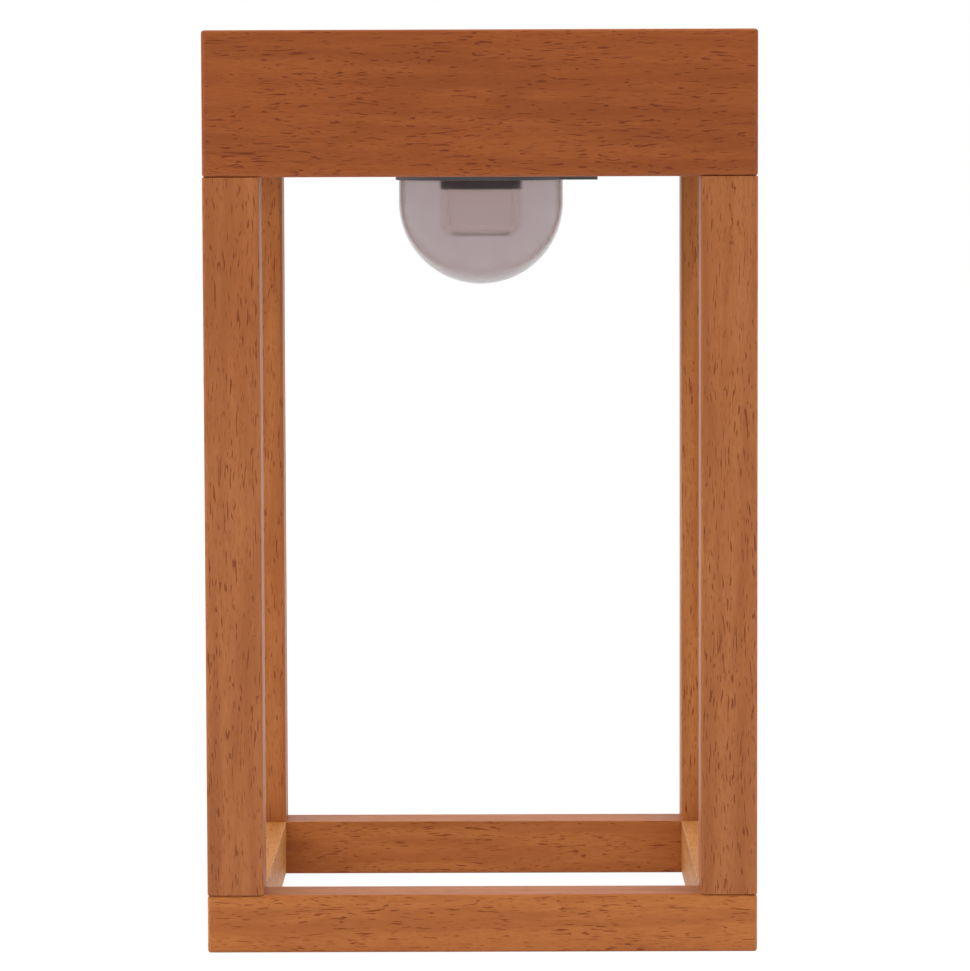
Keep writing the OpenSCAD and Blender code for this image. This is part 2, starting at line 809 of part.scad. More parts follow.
module board_screws() {
    color(steel) translate([0, control_y, control_top_z])
        at_corners(control_post_x, control_post_y) screw(m2);
}

module switch_board() {
    color(pcb_green) difference() {
        translate([switch_pcb_x, -switch_pcb[1] / 2, switch_pcb_z])
            cube([switch_pcb[0], switch_pcb[1], pcb_t]);
        for (y = [-1, 1]) translate([switch_post_x, y * switch_post_y, switch_pcb_z - past])
            cylinder(d = m2[0] + 2 * free_gap, h = pcb_t + 2 * past);
    }
}

// Body of the push switch, open below for its plunger
module push_switch() {
    color(rubber_black) difference() {
        translate([button_x - switch_size[0] / 2, -switch_size[1] / 2, switch_z]) cube(switch_size);
        translate([button_x, 0, switch_z - past])
            cylinder(r = plunger_r + button_gap, h = past + plunger_in + button_travel + free_gap);
    }
}

module switch_screws() {
    color(steel) for (y = [-1, 1]) translate([switch_post_x, y * switch_post_y, switch_pcb_z + pcb_t])
        screw(m2);
}

// Push button: cap in the tab, flange on its seat, stem up to the switch
module mode_button() {
    color([0.32, 0.33, 0.35]) translate([button_x, 0, 0]) {
        translate([0, 0, button_z])
            cylinder(r = button_r, h = button_seat_z - button_z + button_flange_t / 2);
        translate([0, 0, button_seat_z]) cylinder(r = button_flange_r, h = button_flange_t);
        translate([0, 0, button_seat_z])
            cylinder(r = plunger_r, h = switch_z - plunger_out - button_seat_z);
    }
}

module switch_plunger() {
    color([0.85, 0.2, 0.15]) translate([button_x, 0, switch_z - plunger_out])
        cylinder(r = plunger_r, h = plunger_out + plunger_in);
}

// A point on a smooth curve through four points, between the second and the third
function between(a, b, c, d, u) = 0.5 * (
    2 * b + (c - a) * u + (2 * a - 5 * b + 4 * c - d) * u * u + (3 * b - a - 3 * c + d) * u * u * u
);

// A route smoothed through all its points, in so many steps from one to the next
function smooth(p, steps) = let (n = len(p) - 1) [
    for (i = [0:n - 1], k = [0:steps - 1])
        between(p[max(i - 1, 0)], p[i], p[i + 1], p[min(i + 2, n)], k / steps),
    p[n]
];

function unit(v) = v / norm(v);

// A closed tube along points, with rings turned about a fixed side direction
module tube(p, d, sides, side_dir) {
    n = len(p) - 1;
    rings = [
        for (i = [0:n])
            let (
                t = unit(p[min(i + 1, n)] - p[max(i - 1, 0)]),
                u = unit(cross(side_dir, t)),
                v = cross(t, u)
            )
            for (k = [0:sides - 1]) p[i] + d / 2 * (u * cos(360 * k / sides) + v * sin(360 * k / sides))
    ];
    walls = [
        for (i = [0:n - 1], k = [0:sides - 1])
            let (a = i * sides + k, b = i * sides + (k + 1) % sides)
            each [[a, b + sides, b], [a, a + sides, b + sides]]
    ];
    first = [for (k = [0:sides - 1]) k];
    last = [for (k = [sides - 1:-1:0]) n * sides + k];
    polyhedron(points = rings, faces = concat(walls, [first], [last]));
}

// One insulated wire along chosen points
module lead(route, shade) {
    color(shade) tube(smooth(route, wire_steps), wire_d, wire_sides, [1, 0.2, 0]);
}

// The first two points of a wire above its connector
function plug_start(i, s) = [
    [plug_xs[i] + s * wire_side, plug_y, plug_top_z + wire_off],
    [plug_xs[i] + s * wire_side, plug_y, plug_top_z + wire_rise]
];

module led_leads() {
    for (s = [-1, 1]) lead(concat(plug_start(1, s), [
        [s * wire_side - wire_bend, plug_y + 4 * wire_bend, plug_top_z + 2 * wire_bend],
        [s * wire_side, -wire_bend, carrier_top_z + wire_rise],
        [s * wire_side, 0, carrier_top_z - wire_bend / 2],
        [s * wire_side, 0, web_z + wire_off]
    ]), s > 0 ? wire_red : wire_black);
}

module panel_leads() {
    for (s = [-1, 1]) lead(concat(plug_start(2, s), [
        [
            plug_xs[2] - wire_bend / 2 + s * wire_side,
            plug_y + 2 * wire_bend,
            plug_top_z + 2 * wire_rise
        ],
        [wire_bend + s * wire_side, junction_y, junction_z - wire_bend],
        [wire_bend + s * wire_side, junction_y, junction_z - wire_off]
    ]), s > 0 ? wire_red : wire_black);
}

module battery_leads() {
    for (s = [-1, 1]) lead(concat(plug_start(0, s), [
        [plug_xs[0] + 2 * s * wire_side, plug_y + 3 * wire_bend, plug_top_z + 2 * wire_rise],
        [plug_xs[0] / 2 + wire_bend * (1 + s), 0, holder_top_z + wire_bend / 2],
        [s * (bay_l / 2 - 3 * wire_bend), bay_y - 3 * wire_bend, holder_top_z + wire_rise],
        [s * (bay_l - contact_t) / 2, bay_y, holder_top_z + tab_up + wire_bend / 2],
        [s * (bay_l - contact_t) / 2, bay_y, holder_top_z + tab_up + wire_off]
    ]), s > 0 ? wire_red : wire_black);
}

module switch_leads() {
    for (s = [-1, 1]) lead(concat(plug_start(3, s), [
        [
            switch_lead_x - wire_bend / 2 + 2 * s * wire_side,
            plug_y + 3 * wire_bend,
            plug_top_z + 2 * wire_rise
        ],
        [
            switch_lead_x + 2 * s * wire_side,
            switch_lead_y - wire_bend,
            switch_pcb_z + pcb_t + wire_rise
        ],
        [switch_lead_x + 2 * s * wire_side, switch_lead_y, switch_pcb_z + pcb_t + wire_off]
    ]), s > 0 ? [0.9, 0.9, 0.9] : [0.3, 0.3, 0.3]);
}

base_front_rail();
base_right_rail();
base_rear_rail();
base_left_rail();
post_front_left();
post_front_right();
post_rear_left();
post_rear_right();
top_front_board();
top_right_board();
top_rear_board();
top_left_board();
base_dowels();
top_dowels();
panel_bezel();
solar_glass();
solar_cells();
cell_ribbons();
panel_backsheet();
panel_gasket();
junction_box();
module_housing();
housing_gasket();
housing_screws();
dome_diffuser();
dome_seal();
led_carrier();
carrier_screws();
led_board();
leds();
inner_diffuser();
battery_cell();
battery_holder();
contact_plate();
contact_spring();
battery_door();
door_gasket();
door_screws();
battery_pad();
control_board();
board_components();
board_connectors();
board_screws();
switch_board();
push_switch();
switch_screws();
panel_leads();
battery_leads();
led_leads();
switch_leads();
mode_button();
switch_plunger();
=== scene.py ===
"""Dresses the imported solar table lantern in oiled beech, smoky and moulded plastic, in a plain studio."""

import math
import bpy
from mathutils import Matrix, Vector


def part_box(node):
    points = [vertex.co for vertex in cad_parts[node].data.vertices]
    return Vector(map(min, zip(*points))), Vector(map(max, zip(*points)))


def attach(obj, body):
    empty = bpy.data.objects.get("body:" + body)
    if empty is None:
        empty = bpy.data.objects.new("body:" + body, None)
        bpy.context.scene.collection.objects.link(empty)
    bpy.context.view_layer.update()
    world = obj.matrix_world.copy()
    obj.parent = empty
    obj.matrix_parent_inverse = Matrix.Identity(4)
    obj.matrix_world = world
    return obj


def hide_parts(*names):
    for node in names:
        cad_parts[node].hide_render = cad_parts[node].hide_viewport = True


bl_info = {
    "name": "Solar table lantern",
    "version": (1, 0, 0),
    "blender": (4, 5, 0),
    "location": "3D View > Sidebar > Lantern",
    "description": "Models the wood, the lamp unit and the studio of a solar table lantern",
    "category": "Object",
}

from contextlib import contextmanager
from functools import partial
from statistics import mean

import bmesh
import bpy
from mathutils import Euler, Matrix, Vector

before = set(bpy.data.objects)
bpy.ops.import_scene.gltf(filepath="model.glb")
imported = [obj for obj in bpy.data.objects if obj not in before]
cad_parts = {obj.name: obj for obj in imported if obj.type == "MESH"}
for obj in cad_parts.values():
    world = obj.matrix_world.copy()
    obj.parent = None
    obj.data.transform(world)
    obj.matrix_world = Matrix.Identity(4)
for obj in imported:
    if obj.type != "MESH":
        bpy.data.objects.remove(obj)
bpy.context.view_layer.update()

MM = 0.001
NEAR = 0.02 * MM
MERGE = NEAR / 4
SHARP = math.radians(25)
SMOOTH_ANGLE = math.radians(32)
# Where a cloudy pattern reaches its dark and its light tone
DARK = 0.3
LIGHT = 0.7


def linear(text):
    """An sRGB hex colour such as #ad6b41, as linear red, green, blue and alpha."""
    parts = [int(text[i : i + 2], 16) / 255 for i in (1, 3, 5)]
    return [p / 12.92 if p <= 0.04045 else ((p + 0.055) / 1.055) ** 2.4 for p in parts] + [1.0]


def length(name, default, description):
    """A size that a user may change, its default given in millimetres."""
    return bpy.props.FloatProperty(
        name=name, default=default * MM, unit="LENGTH", precision=5, description=description
    )


def degrees(name, default, description):
    """An angle that a user may change, given in degrees."""
    return bpy.props.FloatProperty(
        name=name, default=math.radians(default), subtype="ANGLE", description=description
    )


def watts(name, default, description):
    return bpy.props.FloatProperty(name=name, default=default, unit="POWER", description=description)


def colour(name, default, description):
    """A colour that a user may change, from its sRGB hex."""
    return bpy.props.FloatVectorProperty(
        name=name, default=linear(default), size=4, min=0, max=1, subtype="COLOR", description=description
    )


class LanternSizes(bpy.types.PropertyGroup):
    """Sizes of the details that the frame leaves open."""

    corner_round: length("Corner rounding", 1.2, "Radius of the upright edges of the frame")
    board_edge: length("Board edge", 0.45, "Radius of the long edges of the top boards")
    rail_edge: length("Rail edge", 0.4, "Radius of the upper edges of the base rails")
    foot_edge: length("Foot edge", 1.0, "Radius of the lower edges of the base rails")
    joint_ease: length("Joint easing", 0.08, "Radius of the edges that meet at a glued joint")
    mitre_line: length("Mitre line", 0.07, "Half of the width of the fine groove that shows at a mitre")
    ledge_w: length("Ledge width", 5.0, "Width of the ledge in the boards that carries the lamp unit")
    ledge_h: length("Ledge depth", 5.0, "Depth of that ledge below the top")
    dowel_flute: length("Dowel flute", 0.35, "Depth of the flutes along the dowels")
    dome_d: length("Dome diameter", 56.2, "Outside diameter of the dome")
    dome_wall: length("Dome wall", 1.6, "Wall thickness of the dome")
    dome_flange: length("Dome flange", 2.0, "Thickness of the dome's flange")
    diffuser_spigot_d: length("Diffuser spigot", 24.2, "Diameter of the diffuser inside its boss")
    diffuser_wall: length("Diffuser wall", 1.2, "Wall thickness of the inner diffuser")
    diffuser_round: length("Diffuser rounding", 4.0, "Rounding of the closed end of the inner diffuser")
    moulded_edge: length("Moulded edge", 0.3, "Radius of the edges of the moulded casing")
    glass_edge: length("Glass edge", 0.35, "Radius of the ground edges of the panel's glass")
    rubber_edge: length("Rubber edge", 0.2, "Radius of the edges of seals and gaskets")
    button_d: length("Button diameter", 6.4, "Diameter of the push button's cap")
    finger_pitch: length("Finger pitch", 1.9, "Distance between the printed silver fingers on a solar cell")


class LanternColours(bpy.types.PropertyGroup):
    """Colours of the finishes."""

    board: colour("Boards", "#954e20", "Oiled beech of the top boards")
    post: colour("Front posts", "#a66335", "Oiled beech of the front posts")
    # The rear posts are a lighter copy of the posts' beech: painted light, standing in for the light that
    # reaches their faces inside the frame
    rear_post: colour("Rear posts", "#b46e38", "Oiled beech of the rear posts, a little lighter")
    rail: colour("Rails", "#b36a32", "Oiled beech of the front and rear base rails")
    # The side rails are a paler copy of the rails' beech: painted light and sheen, standing in for the top
    # light that makes their upper faces pale
    side_rail: colour("Side rails", "#bb7e45", "Oiled beech of the side base rails, a little paler")
    dowel: colour("Dowels", "#cfa878", "Raw beech of the dowels")
    smoke: colour("Smoke", "#cfc5c6", "Tint of one wall of the dome")
    frost: colour("Frost", "#fbf7f2", "Tint of the frosted inner diffuser")
    casing: colour("Casing", "#565050", "Moulded plastic of the bezel, the housing and the door")
    carrier: colour("Carrier", "#746c6c", "Moulded plastic of the light carrier")
    black_part: colour("Black parts", "#232426", "Nylon of the holder, the junction box and the switch")
    rubber: colour("Rubber", "#1f1f21", "Seals and gaskets")
    foam: colour("Foam", "#3a3a3c", "Foam of the pads")
    button: colour("Button", "#5c5e64", "Rubber of the push button")
    plunger: colour("Plunger", "#b8382c", "Plunger of the switch")
    cell: colour("Solar cell", "#182858", "Coated silicon")
    backing: colour("Panel backing", "#e4e6e4", "White laminate behind the cells")
    board_mask: colour("Solder mask", "#1c5a38", "Lacquer of the green circuit boards")
    white_mask: colour("White mask", "#e9e9e4", "Lacquer of the light board")
    phosphor: colour("Phosphor", "#e8c850", "Face of the light chips")
    sleeve: colour("Cell sleeve", "#2f6ea8", "Shrink sleeve of the battery cell")
    plus_wire: colour("Plus wire", "#a8211d", "Insulation of the plus wires")
    minus_wire: colour("Minus wire", "#1e1e20", "Insulation of the minus wires")
    connector: colour("Connectors", "#e6e0d0", "Nylon of the wire connectors")
    floor: colour("Floor", "#f2f2f2", "Studio floor")


class StudioSettings(bpy.types.PropertyGroup):
    """Camera and lights. The camera stands where the photographer's did."""

    lens: bpy.props.FloatProperty(name="Lens", default=172.42, unit="CAMERA", description="Focal length")
    camera_x: length("Camera X", 5.47, "Sideways place of the camera")
    camera_y: length("Camera Y", -1596.79, "Place of the camera in depth")
    camera_z: length("Camera Z", 270.34, "Height of the camera")
    yaw: degrees("Yaw", -0.158, "Turn to the right")
    pitch: degrees("Pitch", 4.438, "Tilt downwards")
    roll: degrees("Roll", -0.189, "Turn about the line of sight")
    ambient: bpy.props.FloatProperty(name="Ambient", default=0.4, description="Soft light from all around")
    front_gloss: bpy.props.FloatProperty(
        name="Front gloss", default=0.08, description="What gloss shows of the room on the camera's side"
    )
    top_light: watts("Top light", 15.5, "Soft light overhead")
    left_light: watts("Left light", 15.0, "Soft light on the left")
    right_light: watts("Right light", 12.5, "Soft light on the right")
    front_light: watts("Front light", 3.0, "Soft light from above the camera, a little to the left")


def sizes():
    return bpy.context.scene.lantern_sizes


def colours():
    return bpy.context.scene.lantern_colours


# Modelling helpers


@contextmanager
def editing(piece, mode="FACE"):
    """Edit mode on one piece, with nothing selected at the start."""
    pick_only(piece)
    bpy.ops.object.mode_set(mode="EDIT")
    bpy.ops.mesh.select_mode(type=mode)
    bpy.ops.mesh.select_all(action="DESELECT")
    yield piece
    bpy.ops.object.mode_set(mode="OBJECT")


def pick_only(*pieces):
    bpy.ops.object.select_all(action="DESELECT")
    for piece in pieces:
        piece.select_set(True)
    bpy.context.view_layer.objects.active = pieces[0]


def select_edges(piece, test):
    """Selects the sharp edges whose two ends pass a test of their places."""
    mesh = bmesh.from_edit_mesh(piece.data)
    for edge in mesh.edges:
        sharp = edge.is_manifold and edge.calc_face_angle() > SHARP
        edge.select = sharp and test(edge.verts[0].co) and test(edge.verts[1].co)
    mesh.select_flush_mode()
    bmesh.update_edit_mesh(piece.data)


def select_faces(piece, test):
    """Selects the faces whose middle and normal pass a test."""
    mesh = bmesh.from_edit_mesh(piece.data)
    for face in mesh.faces:
        face.select = test(face.calc_center_median(), face.normal)
    mesh.select_flush_mode()
    bmesh.update_edit_mesh(piece.data)


def settle(piece, name):
    """Puts the place of a new primitive into its mesh, and names it."""
    pick_only(piece)
    bpy.ops.object.transform_apply(location=True, rotation=True, scale=True)
    piece.name = name
    piece.data.name = name
    return piece


def primitive(name, kind, **settings):
    """A new primitive of a kind, such as cube, with its place in its mesh."""
    bpy.ops.object.select_all(action="DESELECT")
    getattr(bpy.ops.mesh, f"primitive_{kind}_add")(**settings)
    return settle(bpy.context.object, name)


def block(name, low, high):
    """A block between two corners."""
    low, high = Vector(low), Vector(high)
    return primitive(name, "cube", size=1, location=(low + high) / 2, scale=high - low)


def turned(name, outline, steps):
    """An outline of (radius, height) points, spun about Z into one closed skin."""
    piece = primitive(name, "plane", size=MM, location=(outline[0][0], 0, outline[0][1]))
    with editing(piece, "VERT"):
        bpy.ops.mesh.select_all(action="SELECT")
        bpy.ops.mesh.merge(type="CENTER")
        for (r0, z0), (r1, z1) in zip(outline, outline[1:]):
            bpy.ops.mesh.extrude_vertices_move(TRANSFORM_OT_translate={"value": (r1 - r0, 0, z1 - z0)})
        bpy.ops.mesh.select_all(action="SELECT")
        bpy.ops.mesh.spin(steps=steps, angle=2 * math.pi, center=(0, 0, 0), axis=(0, 0, 1))
        bpy.ops.mesh.select_all(action="SELECT")
        bpy.ops.mesh.remove_doubles(threshold=MERGE)
        bpy.ops.mesh.normals_make_consistent(inside=False)
    return piece


def arc(radius, middle, start, end, steps):
    """Points of a round stretch of an outline, between two angles in degrees."""
    angles = [math.radians(start + (end - start) * i / steps) for i in range(steps + 1)]
    return [(middle[0] + radius * math.cos(a), middle[1] + radius * math.sin(a)) for a in angles]


def apply(piece, kind, **settings):
    """Adds a modifier and applies it."""
    pick_only(piece)
    modifier = piece.modifiers.new(kind.lower(), kind)
    for key, value in settings.items():
        setattr(modifier, key, value)
    bpy.ops.object.modifier_apply(modifier=modifier.name)


def ease(piece, radius, segments=2, angle=40):
    """Rounds all edges sharper than an angle in degrees."""
    limit = math.radians(angle)
    apply(piece, "BEVEL", width=radius, segments=segments, limit_method="ANGLE", angle_limit=limit)
    return piece


def cut_out(piece, cutter):
    """Cuts another solid out of a piece, and removes that other solid."""
    apply(piece, "BOOLEAN", object=cutter, operation="DIFFERENCE", solver="EXACT")
    bpy.data.objects.remove(cutter)


def copy_of(piece):
    """A copy with its own mesh."""
    twin = piece.copy()
    twin.data = piece.data.copy()
    bpy.context.scene.collection.objects.link(twin)
    return twin


def joined(pieces, name):
    """Several pieces as one."""
    pick_only(*pieces)
    if len(pieces) > 1:
        bpy.ops.object.join()
    return settle(pieces[0], name)


def copies_at(master, name, places, flip=False):
    """Copies of a master at several places, joined, each turned upside down or not."""
    pieces = []
    for place in places:
        piece = copy_of(master)
        piece.location = place
        piece.rotation_euler.x = math.pi if flip else 0
        pieces.append(settle(piece, name))
    bpy.data.objects.remove(master)
    return joined(pieces, name)


def coat(piece, first, second=None, test=None):
    """Gives a piece a material, and a second one to faces whose middle and normal pass a test."""
    piece.data.materials.append(first)
    if second:
        piece.data.materials.append(second)
        for face in piece.data.polygons:
            face.material_index = int(test(face.center, face.normal))
    return piece


def finish(piece, material, body, slot, *nodes):
    """Smooths a piece by angle, gives it a material unless it has one, and puts it in its nodes' place."""
    pick_only(piece)
    bpy.ops.object.shade_smooth_by_angle(angle=SMOOTH_ANGLE)
    apply(piece, "WEIGHTED_NORMAL", keep_sharp=True, weight=90)
    if material:
        piece.data.materials.clear()
        coat(piece, material)
    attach(piece, body)
    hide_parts(*nodes)
    return piece


def clean_copy(node, name):
    """A copy of a CAD node, its triangles merged into clean faces."""
    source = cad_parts[node]
    piece = bpy.data.objects.new(name, source.data.copy())
    bpy.context.scene.collection.objects.link(piece)
    for key in list(piece.keys()):
        del piece[key]
    with editing(piece):
        bpy.ops.mesh.select_all(action="SELECT")
        bpy.ops.mesh.remove_doubles(threshold=MERGE)
        bpy.ops.mesh.dissolve_limited(angle_limit=math.radians(1))
    return piece


def dress(material, *nodes):
    """Gives CAD nodes a finish and leaves their shapes alone."""
    for node in nodes:
        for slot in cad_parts[node].material_slots:
            slot.material = material


def solids_of(node):
    """Lowest and highest corner of each separate solid of a CAD node."""
    mesh = bmesh.new()
    mesh.from_mesh(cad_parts[node].data)
    bmesh.ops.remove_doubles(mesh, verts=mesh.verts, dist=MERGE)
    boxes = []
    left = set(mesh.verts)
    while left:
        island = {left.pop()}
        rim = set(island)
        while rim:
            rim = {edge.other_vert(vert) for vert in rim for edge in vert.link_edges} - island
            island |= rim
        left -= island
        low = Vector([min(vert.co[i] for vert in island) for i in range(3)])
        high = Vector([max(vert.co[i] for vert in island) for i in range(3)])
        boxes.append((low, high))
    mesh.free()
    return sorted(boxes, key=lambda box: [round(c, 5) for c in box[0]])


def middle(box):
    return (box[0] + box[1]) / 2


# Material helpers


def add(tree, kind, inputs, **settings):
    """Adds a node, or takes one that is there, and fills its inputs with values or other nodes."""
    node = tree.nodes.new("ShaderNode" + kind) if isinstance(kind, str) else kind
    for key, value in settings.items():
        setattr(node, key, value)
    for key, value in inputs.items():
        if isinstance(value, bpy.types.Node):
            value = next(socket for socket in value.outputs if socket.enabled)
        if isinstance(value, bpy.types.NodeSocket):
            tree.links.new(value, node.inputs[key])
        else:
            node.inputs[key].default_value = value
    return node


def surface(material, relief=None, depth=0.0, strength=1.0, rough=None, **inputs):
    """Fills the inputs of a material's shader. The relief is a pattern with a depth in millimetres, and
    the roughness may be one too, with its values at the dark and at the light parts."""
    node = partial(add, material.node_tree)
    inputs = {key.replace("_", " "): value for key, value in inputs.items()}
    if relief:
        inputs["Normal"] = node("Bump", {"Height": relief, "Distance": depth * MM, "Strength": strength})
    if rough:
        run = {"Value": rough[0], "From Min": DARK, "From Max": LIGHT}
        run.update({"To Min": rough[1], "To Max": rough[2]})
        inputs["Roughness"] = node("MapRange", run, interpolation_type="SMOOTHSTEP")
    node(material.node_tree.nodes["Principled BSDF"], inputs)
    return material


def new_material(name, **inputs):
    """A material with a Principled surface, a way to add nodes to it, and its coordinates."""
    material = bpy.data.materials.new(name)
    material.use_nodes = True
    node = partial(add, material.node_tree)
    return surface(material, **inputs), node, node("TexCoord", {}).outputs["Object"]


def per_cell(*size):
    """Scales that make a cell of a size in millimetres, one or three numbers, one unit each way."""
    return [1 / (s * MM) for s in (size * 3 if len(size) == 1 else size)]


def clouds(node, place, size, detail=2.0, roughness=0.5):
    """Soft noise from about 0.25 to 0.75, with cells of a size in millimetres, one or three numbers."""
    scales = per_cell(*size) if isinstance(size, tuple) else per_cell(size)
    place = node("VectorMath", {0: place, 1: scales}, operation="MULTIPLY")
    return node("TexNoise", {"Vector": place, "Scale": 1.0, "Detail": detail, "Roughness": roughness})


def tones(node, tone, *layers):
    """Lays colours over a first one, each where its pattern runs from low to high, up to its strength."""
    for pattern, low, high, strength, colour in layers:
        run = {"Value": pattern, "From Min": low, "From Max": high, "To Max": strength}
        run = node("MapRange", run, interpolation_type="SMOOTHSTEP")
        tone = node("Mix", {0: run, 6: tone, 7: colour}, data_type="RGBA")
    return tone


def shade(base, *factor):
    """A linear colour made lighter or darker."""
    factor = factor * 3 if len(factor) == 1 else factor
    return [c * f for c, f in zip(base[:3], factor)] + [1.0]


def mottled(name, size, detail, dark, light, depth, **inputs):
    """A finish with one soft pattern from a dark to a light tone, its cells and depth in millimetres."""
    material, node, place = new_material(name, **inputs)
    pattern = clouds(node, place, size, detail)
    tone = tones(node, dark, (pattern, DARK, LIGHT, 1.0, light))
    return surface(material, pattern, depth, Base_Color=tone)


def clear(name, tint, size, detail, depth, **inputs):
    """A clear finish whose skin has a soft relief, of a cell size and a depth in millimetres."""
    material, node, place = new_material(name, Base_Color=tint, Transmission_Weight=1.0, **inputs)
    return surface(material, clouds(node, place, size, detail), depth)


# Materials

GRAIN_TURN = {"x": (0, 0, 0), "y": (0, 0, -math.pi / 2), "z": (0, math.pi / 2, 0)}


def oiled_beech(name, base, grain, shift):
    """Steamed beech, planed, oiled and rubbed to a low sheen: short dark ray flecks along the grain,
    soft streaks of lighter and redder wood, and a faint fibre that breaks up the gloss."""
    material, node, place = new_material(name, Specular_IOR_Level=0.3)
    upright = node("Mapping", {"Vector": place, "Rotation": GRAIN_TURN[grain], "Location": shift})
    # The grain wanders about a millimetre over a few centimetres, and flecks tilt with it
    sway = clouds(node, upright, (26, 9, 9), 1.5).outputs["Color"]
    sway = node("VectorMath", {0: sway, 1: (0.5, 0.5, 0.5)}, operation="SUBTRACT")
    along = {0: sway, 1: (0, 3.4 * MM, 3.4 * MM), 2: upright}
    along = node("VectorMath", along, operation="MULTIPLY_ADD")

    # Flecks about 6 mm long and 0.3 mm thick, with shorter ones between them, gather in crowds. The
    # finest real ones would not show, so none is thinner than 0.25 mm
    crowd = clouds(node, upright, (17, 6, 8), 1.0)
    long_flecks = clouds(node, along, (6.2, 0.29, 0.55), 1.2, 0.45)
    long_flecks = node("Math", {0: crowd, 1: 0.16, 2: long_flecks}, operation="MULTIPLY_ADD")
    faint, full = 0.716, 0.758
    short_flecks = clouds(node, along, (3.4, 0.25, 0.42), 1.2, 0.45)
    short_flecks = node("Math", {0: crowd, 1: 0.14, 2: short_flecks}, operation="MULTIPLY_ADD")
    # Growth rings show as streaks a few millimetres wide and many centimetres long
    rings = clouds(node, along, (90, 2.8, 5.5), 3.0, 0.55)
    redness = clouds(node, along, (60, 9, 9), 1.5)
    fibre = clouds(node, along, (7, 0.36, 0.4), 2.0, 0.6)
    tone = tones(
        node,
        shade(base, 1.10, 1.15, 1.20),
        (rings, 0.36, 0.64, 1.0, shade(base, 0.87, 0.81, 0.75)),
        (redness, 0.4, 0.65, 0.3, shade(base, 1.03, 0.92, 0.86)),
        (fibre, 0.34, 0.70, 0.42, shade(base, 0.80, 0.72, 0.66)),
        (short_flecks, 0.65, 0.75, 0.38, shade(base, 0.68, 0.52, 0.36)),
        (long_flecks, faint, full, 0.9, shade(base, 0.52, 0.33, 0.16)),
    )
    # The long flecks lie a little below the fibre
    dent = {"Value": long_flecks, "From Min": faint, "From Max": full, "To Max": -1.0}
    dent = node("MapRange", dent, interpolation_type="SMOOTHSTEP")
    height = node("Math", {0: fibre, 1: 0.6, 2: dent}, operation="MULTIPLY_ADD")
    return surface(material, height, 0.03, 0.6, (fibre, 0.42, 0.56), Base_Color=tone)


def raw_beech(name, base):
    """Turned beech dowels, left raw: pale, with a dry fibre along the length."""
    material, node, place = new_material(name, Roughness=0.75, IOR=1.5)
    fibre = clouds(node, place, (0.4, 0.4, 6), 2.0, 0.6)
    flecks = clouds(node, place, (0.7, 0.7, 2.6), 1.0)
    tone = tones(
        node,
        shade(base, 1.06),
        (fibre, DARK, LIGHT, 1.0, shade(base, 0.88, 0.84, 0.80)),
        (flecks, 0.64, 0.74, 0.6, shade(base, 0.55, 0.42, 0.34)),
    )
    return surface(material, fibre, 0.035, Base_Color=tone)


def moulded(name, base, roughness=0.48, pebble=0.5, depth=0.03, ior=1.54):
    """Plastic from a spark-eroded mould: an even, satin skin, its gloss broken up by a fine pebble."""
    material, node, place = new_material(name, IOR=ior)
    cloud = clouds(node, place, 12, 3.0)
    tone = tones(node, shade(base, 0.92), (cloud, DARK, LIGHT, 1.0, shade(base, 1.07)))
    rough = (cloud, roughness - 0.05, roughness + 0.06)
    return surface(material, clouds(node, place, pebble), depth, rough=rough, Base_Color=tone)


def rubber(name, base):
    """Pressed EPDM rubber: nearly black and matt, with a bloom that greys it in patches."""
    material, node, place = new_material(name, IOR=1.5)
    bloom = clouds(node, place, 5, 4.0, 0.6)
    tone = tones(node, base, (bloom, 0.4, 0.75, 1.0, shade(base, 1.9)))
    return surface(material, clouds(node, place, 0.35), 0.03, rough=(bloom, 0.62, 0.8), Base_Color=tone)


def foam(name, base):
    """Closed-cell polyethylene foam: matt, with open pores of about half a millimetre at its cut faces."""
    material, node, place = new_material(name, Roughness=0.9, IOR=1.5)
    pores = node("VectorMath", {0: place, 1: per_cell(0.55)}, operation="MULTIPLY")
    pores = node("TexVoronoi", {"Vector": pores, "Scale": 1.0})
    # The pores are painted darker than the foam between them: painted shade inside each pore, over the dent
    # that the bump gives
    tone = tones(node, shade(base, 0.5), (pores, 0.1, 0.6, 1.0, shade(base, 1.2)))
    return surface(material, pores, 0.12, Base_Color=tone)


def plated_steel(name, base, roughness=0.32):
    """Bright zinc or nickel on steel: metal with a slightly clouded shine and fine handling marks."""
    material, node, place = new_material(name, Metallic=1.0)
    cloud = clouds(node, place, 1.6, 3.0)
    marks = {"Value": clouds(node, place, (2.4, 0.12, 0.5)), "From Min": 0.6, "From Max": 0.72}
    marks = node("MapRange", marks, interpolation_type="SMOOTHSTEP")
    tone = tones(node, shade(base, 0.84), (cloud, DARK, LIGHT, 1.0, shade(base, 1.05)))
    rough = {"From Min": DARK, "From Max": LIGHT, "To Min": roughness - 0.07, "To Max": roughness + 0.08}
    rough = node("MapRange", {"Value": cloud, **rough}, interpolation_type="SMOOTHSTEP")
    rough = node("Math", {0: marks, 1: 0.12, 2: rough}, operation="MULTIPLY_ADD")
    return surface(material, marks, 0.01, Base_Color=tone, Roughness=rough)


def smoky_polycarbonate(name, base):
    """Injection-moulded polycarbonate with a smoke tint: slightly hazy, with faint flow ripples."""
    return clear(name, base, (9, 9, 16), 1.0, 0.03, Roughness=0.2, IOR=1.25)


def frosted_polycarbonate(name, base):
    """Blasted polycarbonate: it passes nearly all light but blurs what lies behind it."""
    return clear(name, base, 0.4, 2.0, 0.02, Roughness=0.15, IOR=1.06)


def float_glass(name):
    """Low-iron float glass, fire-polished and flat, with the faint green of its edges."""
    return clear(name, linear("#f3faf7"), 40, 1.0, 0.01, Roughness=0.015, IOR=1.52)


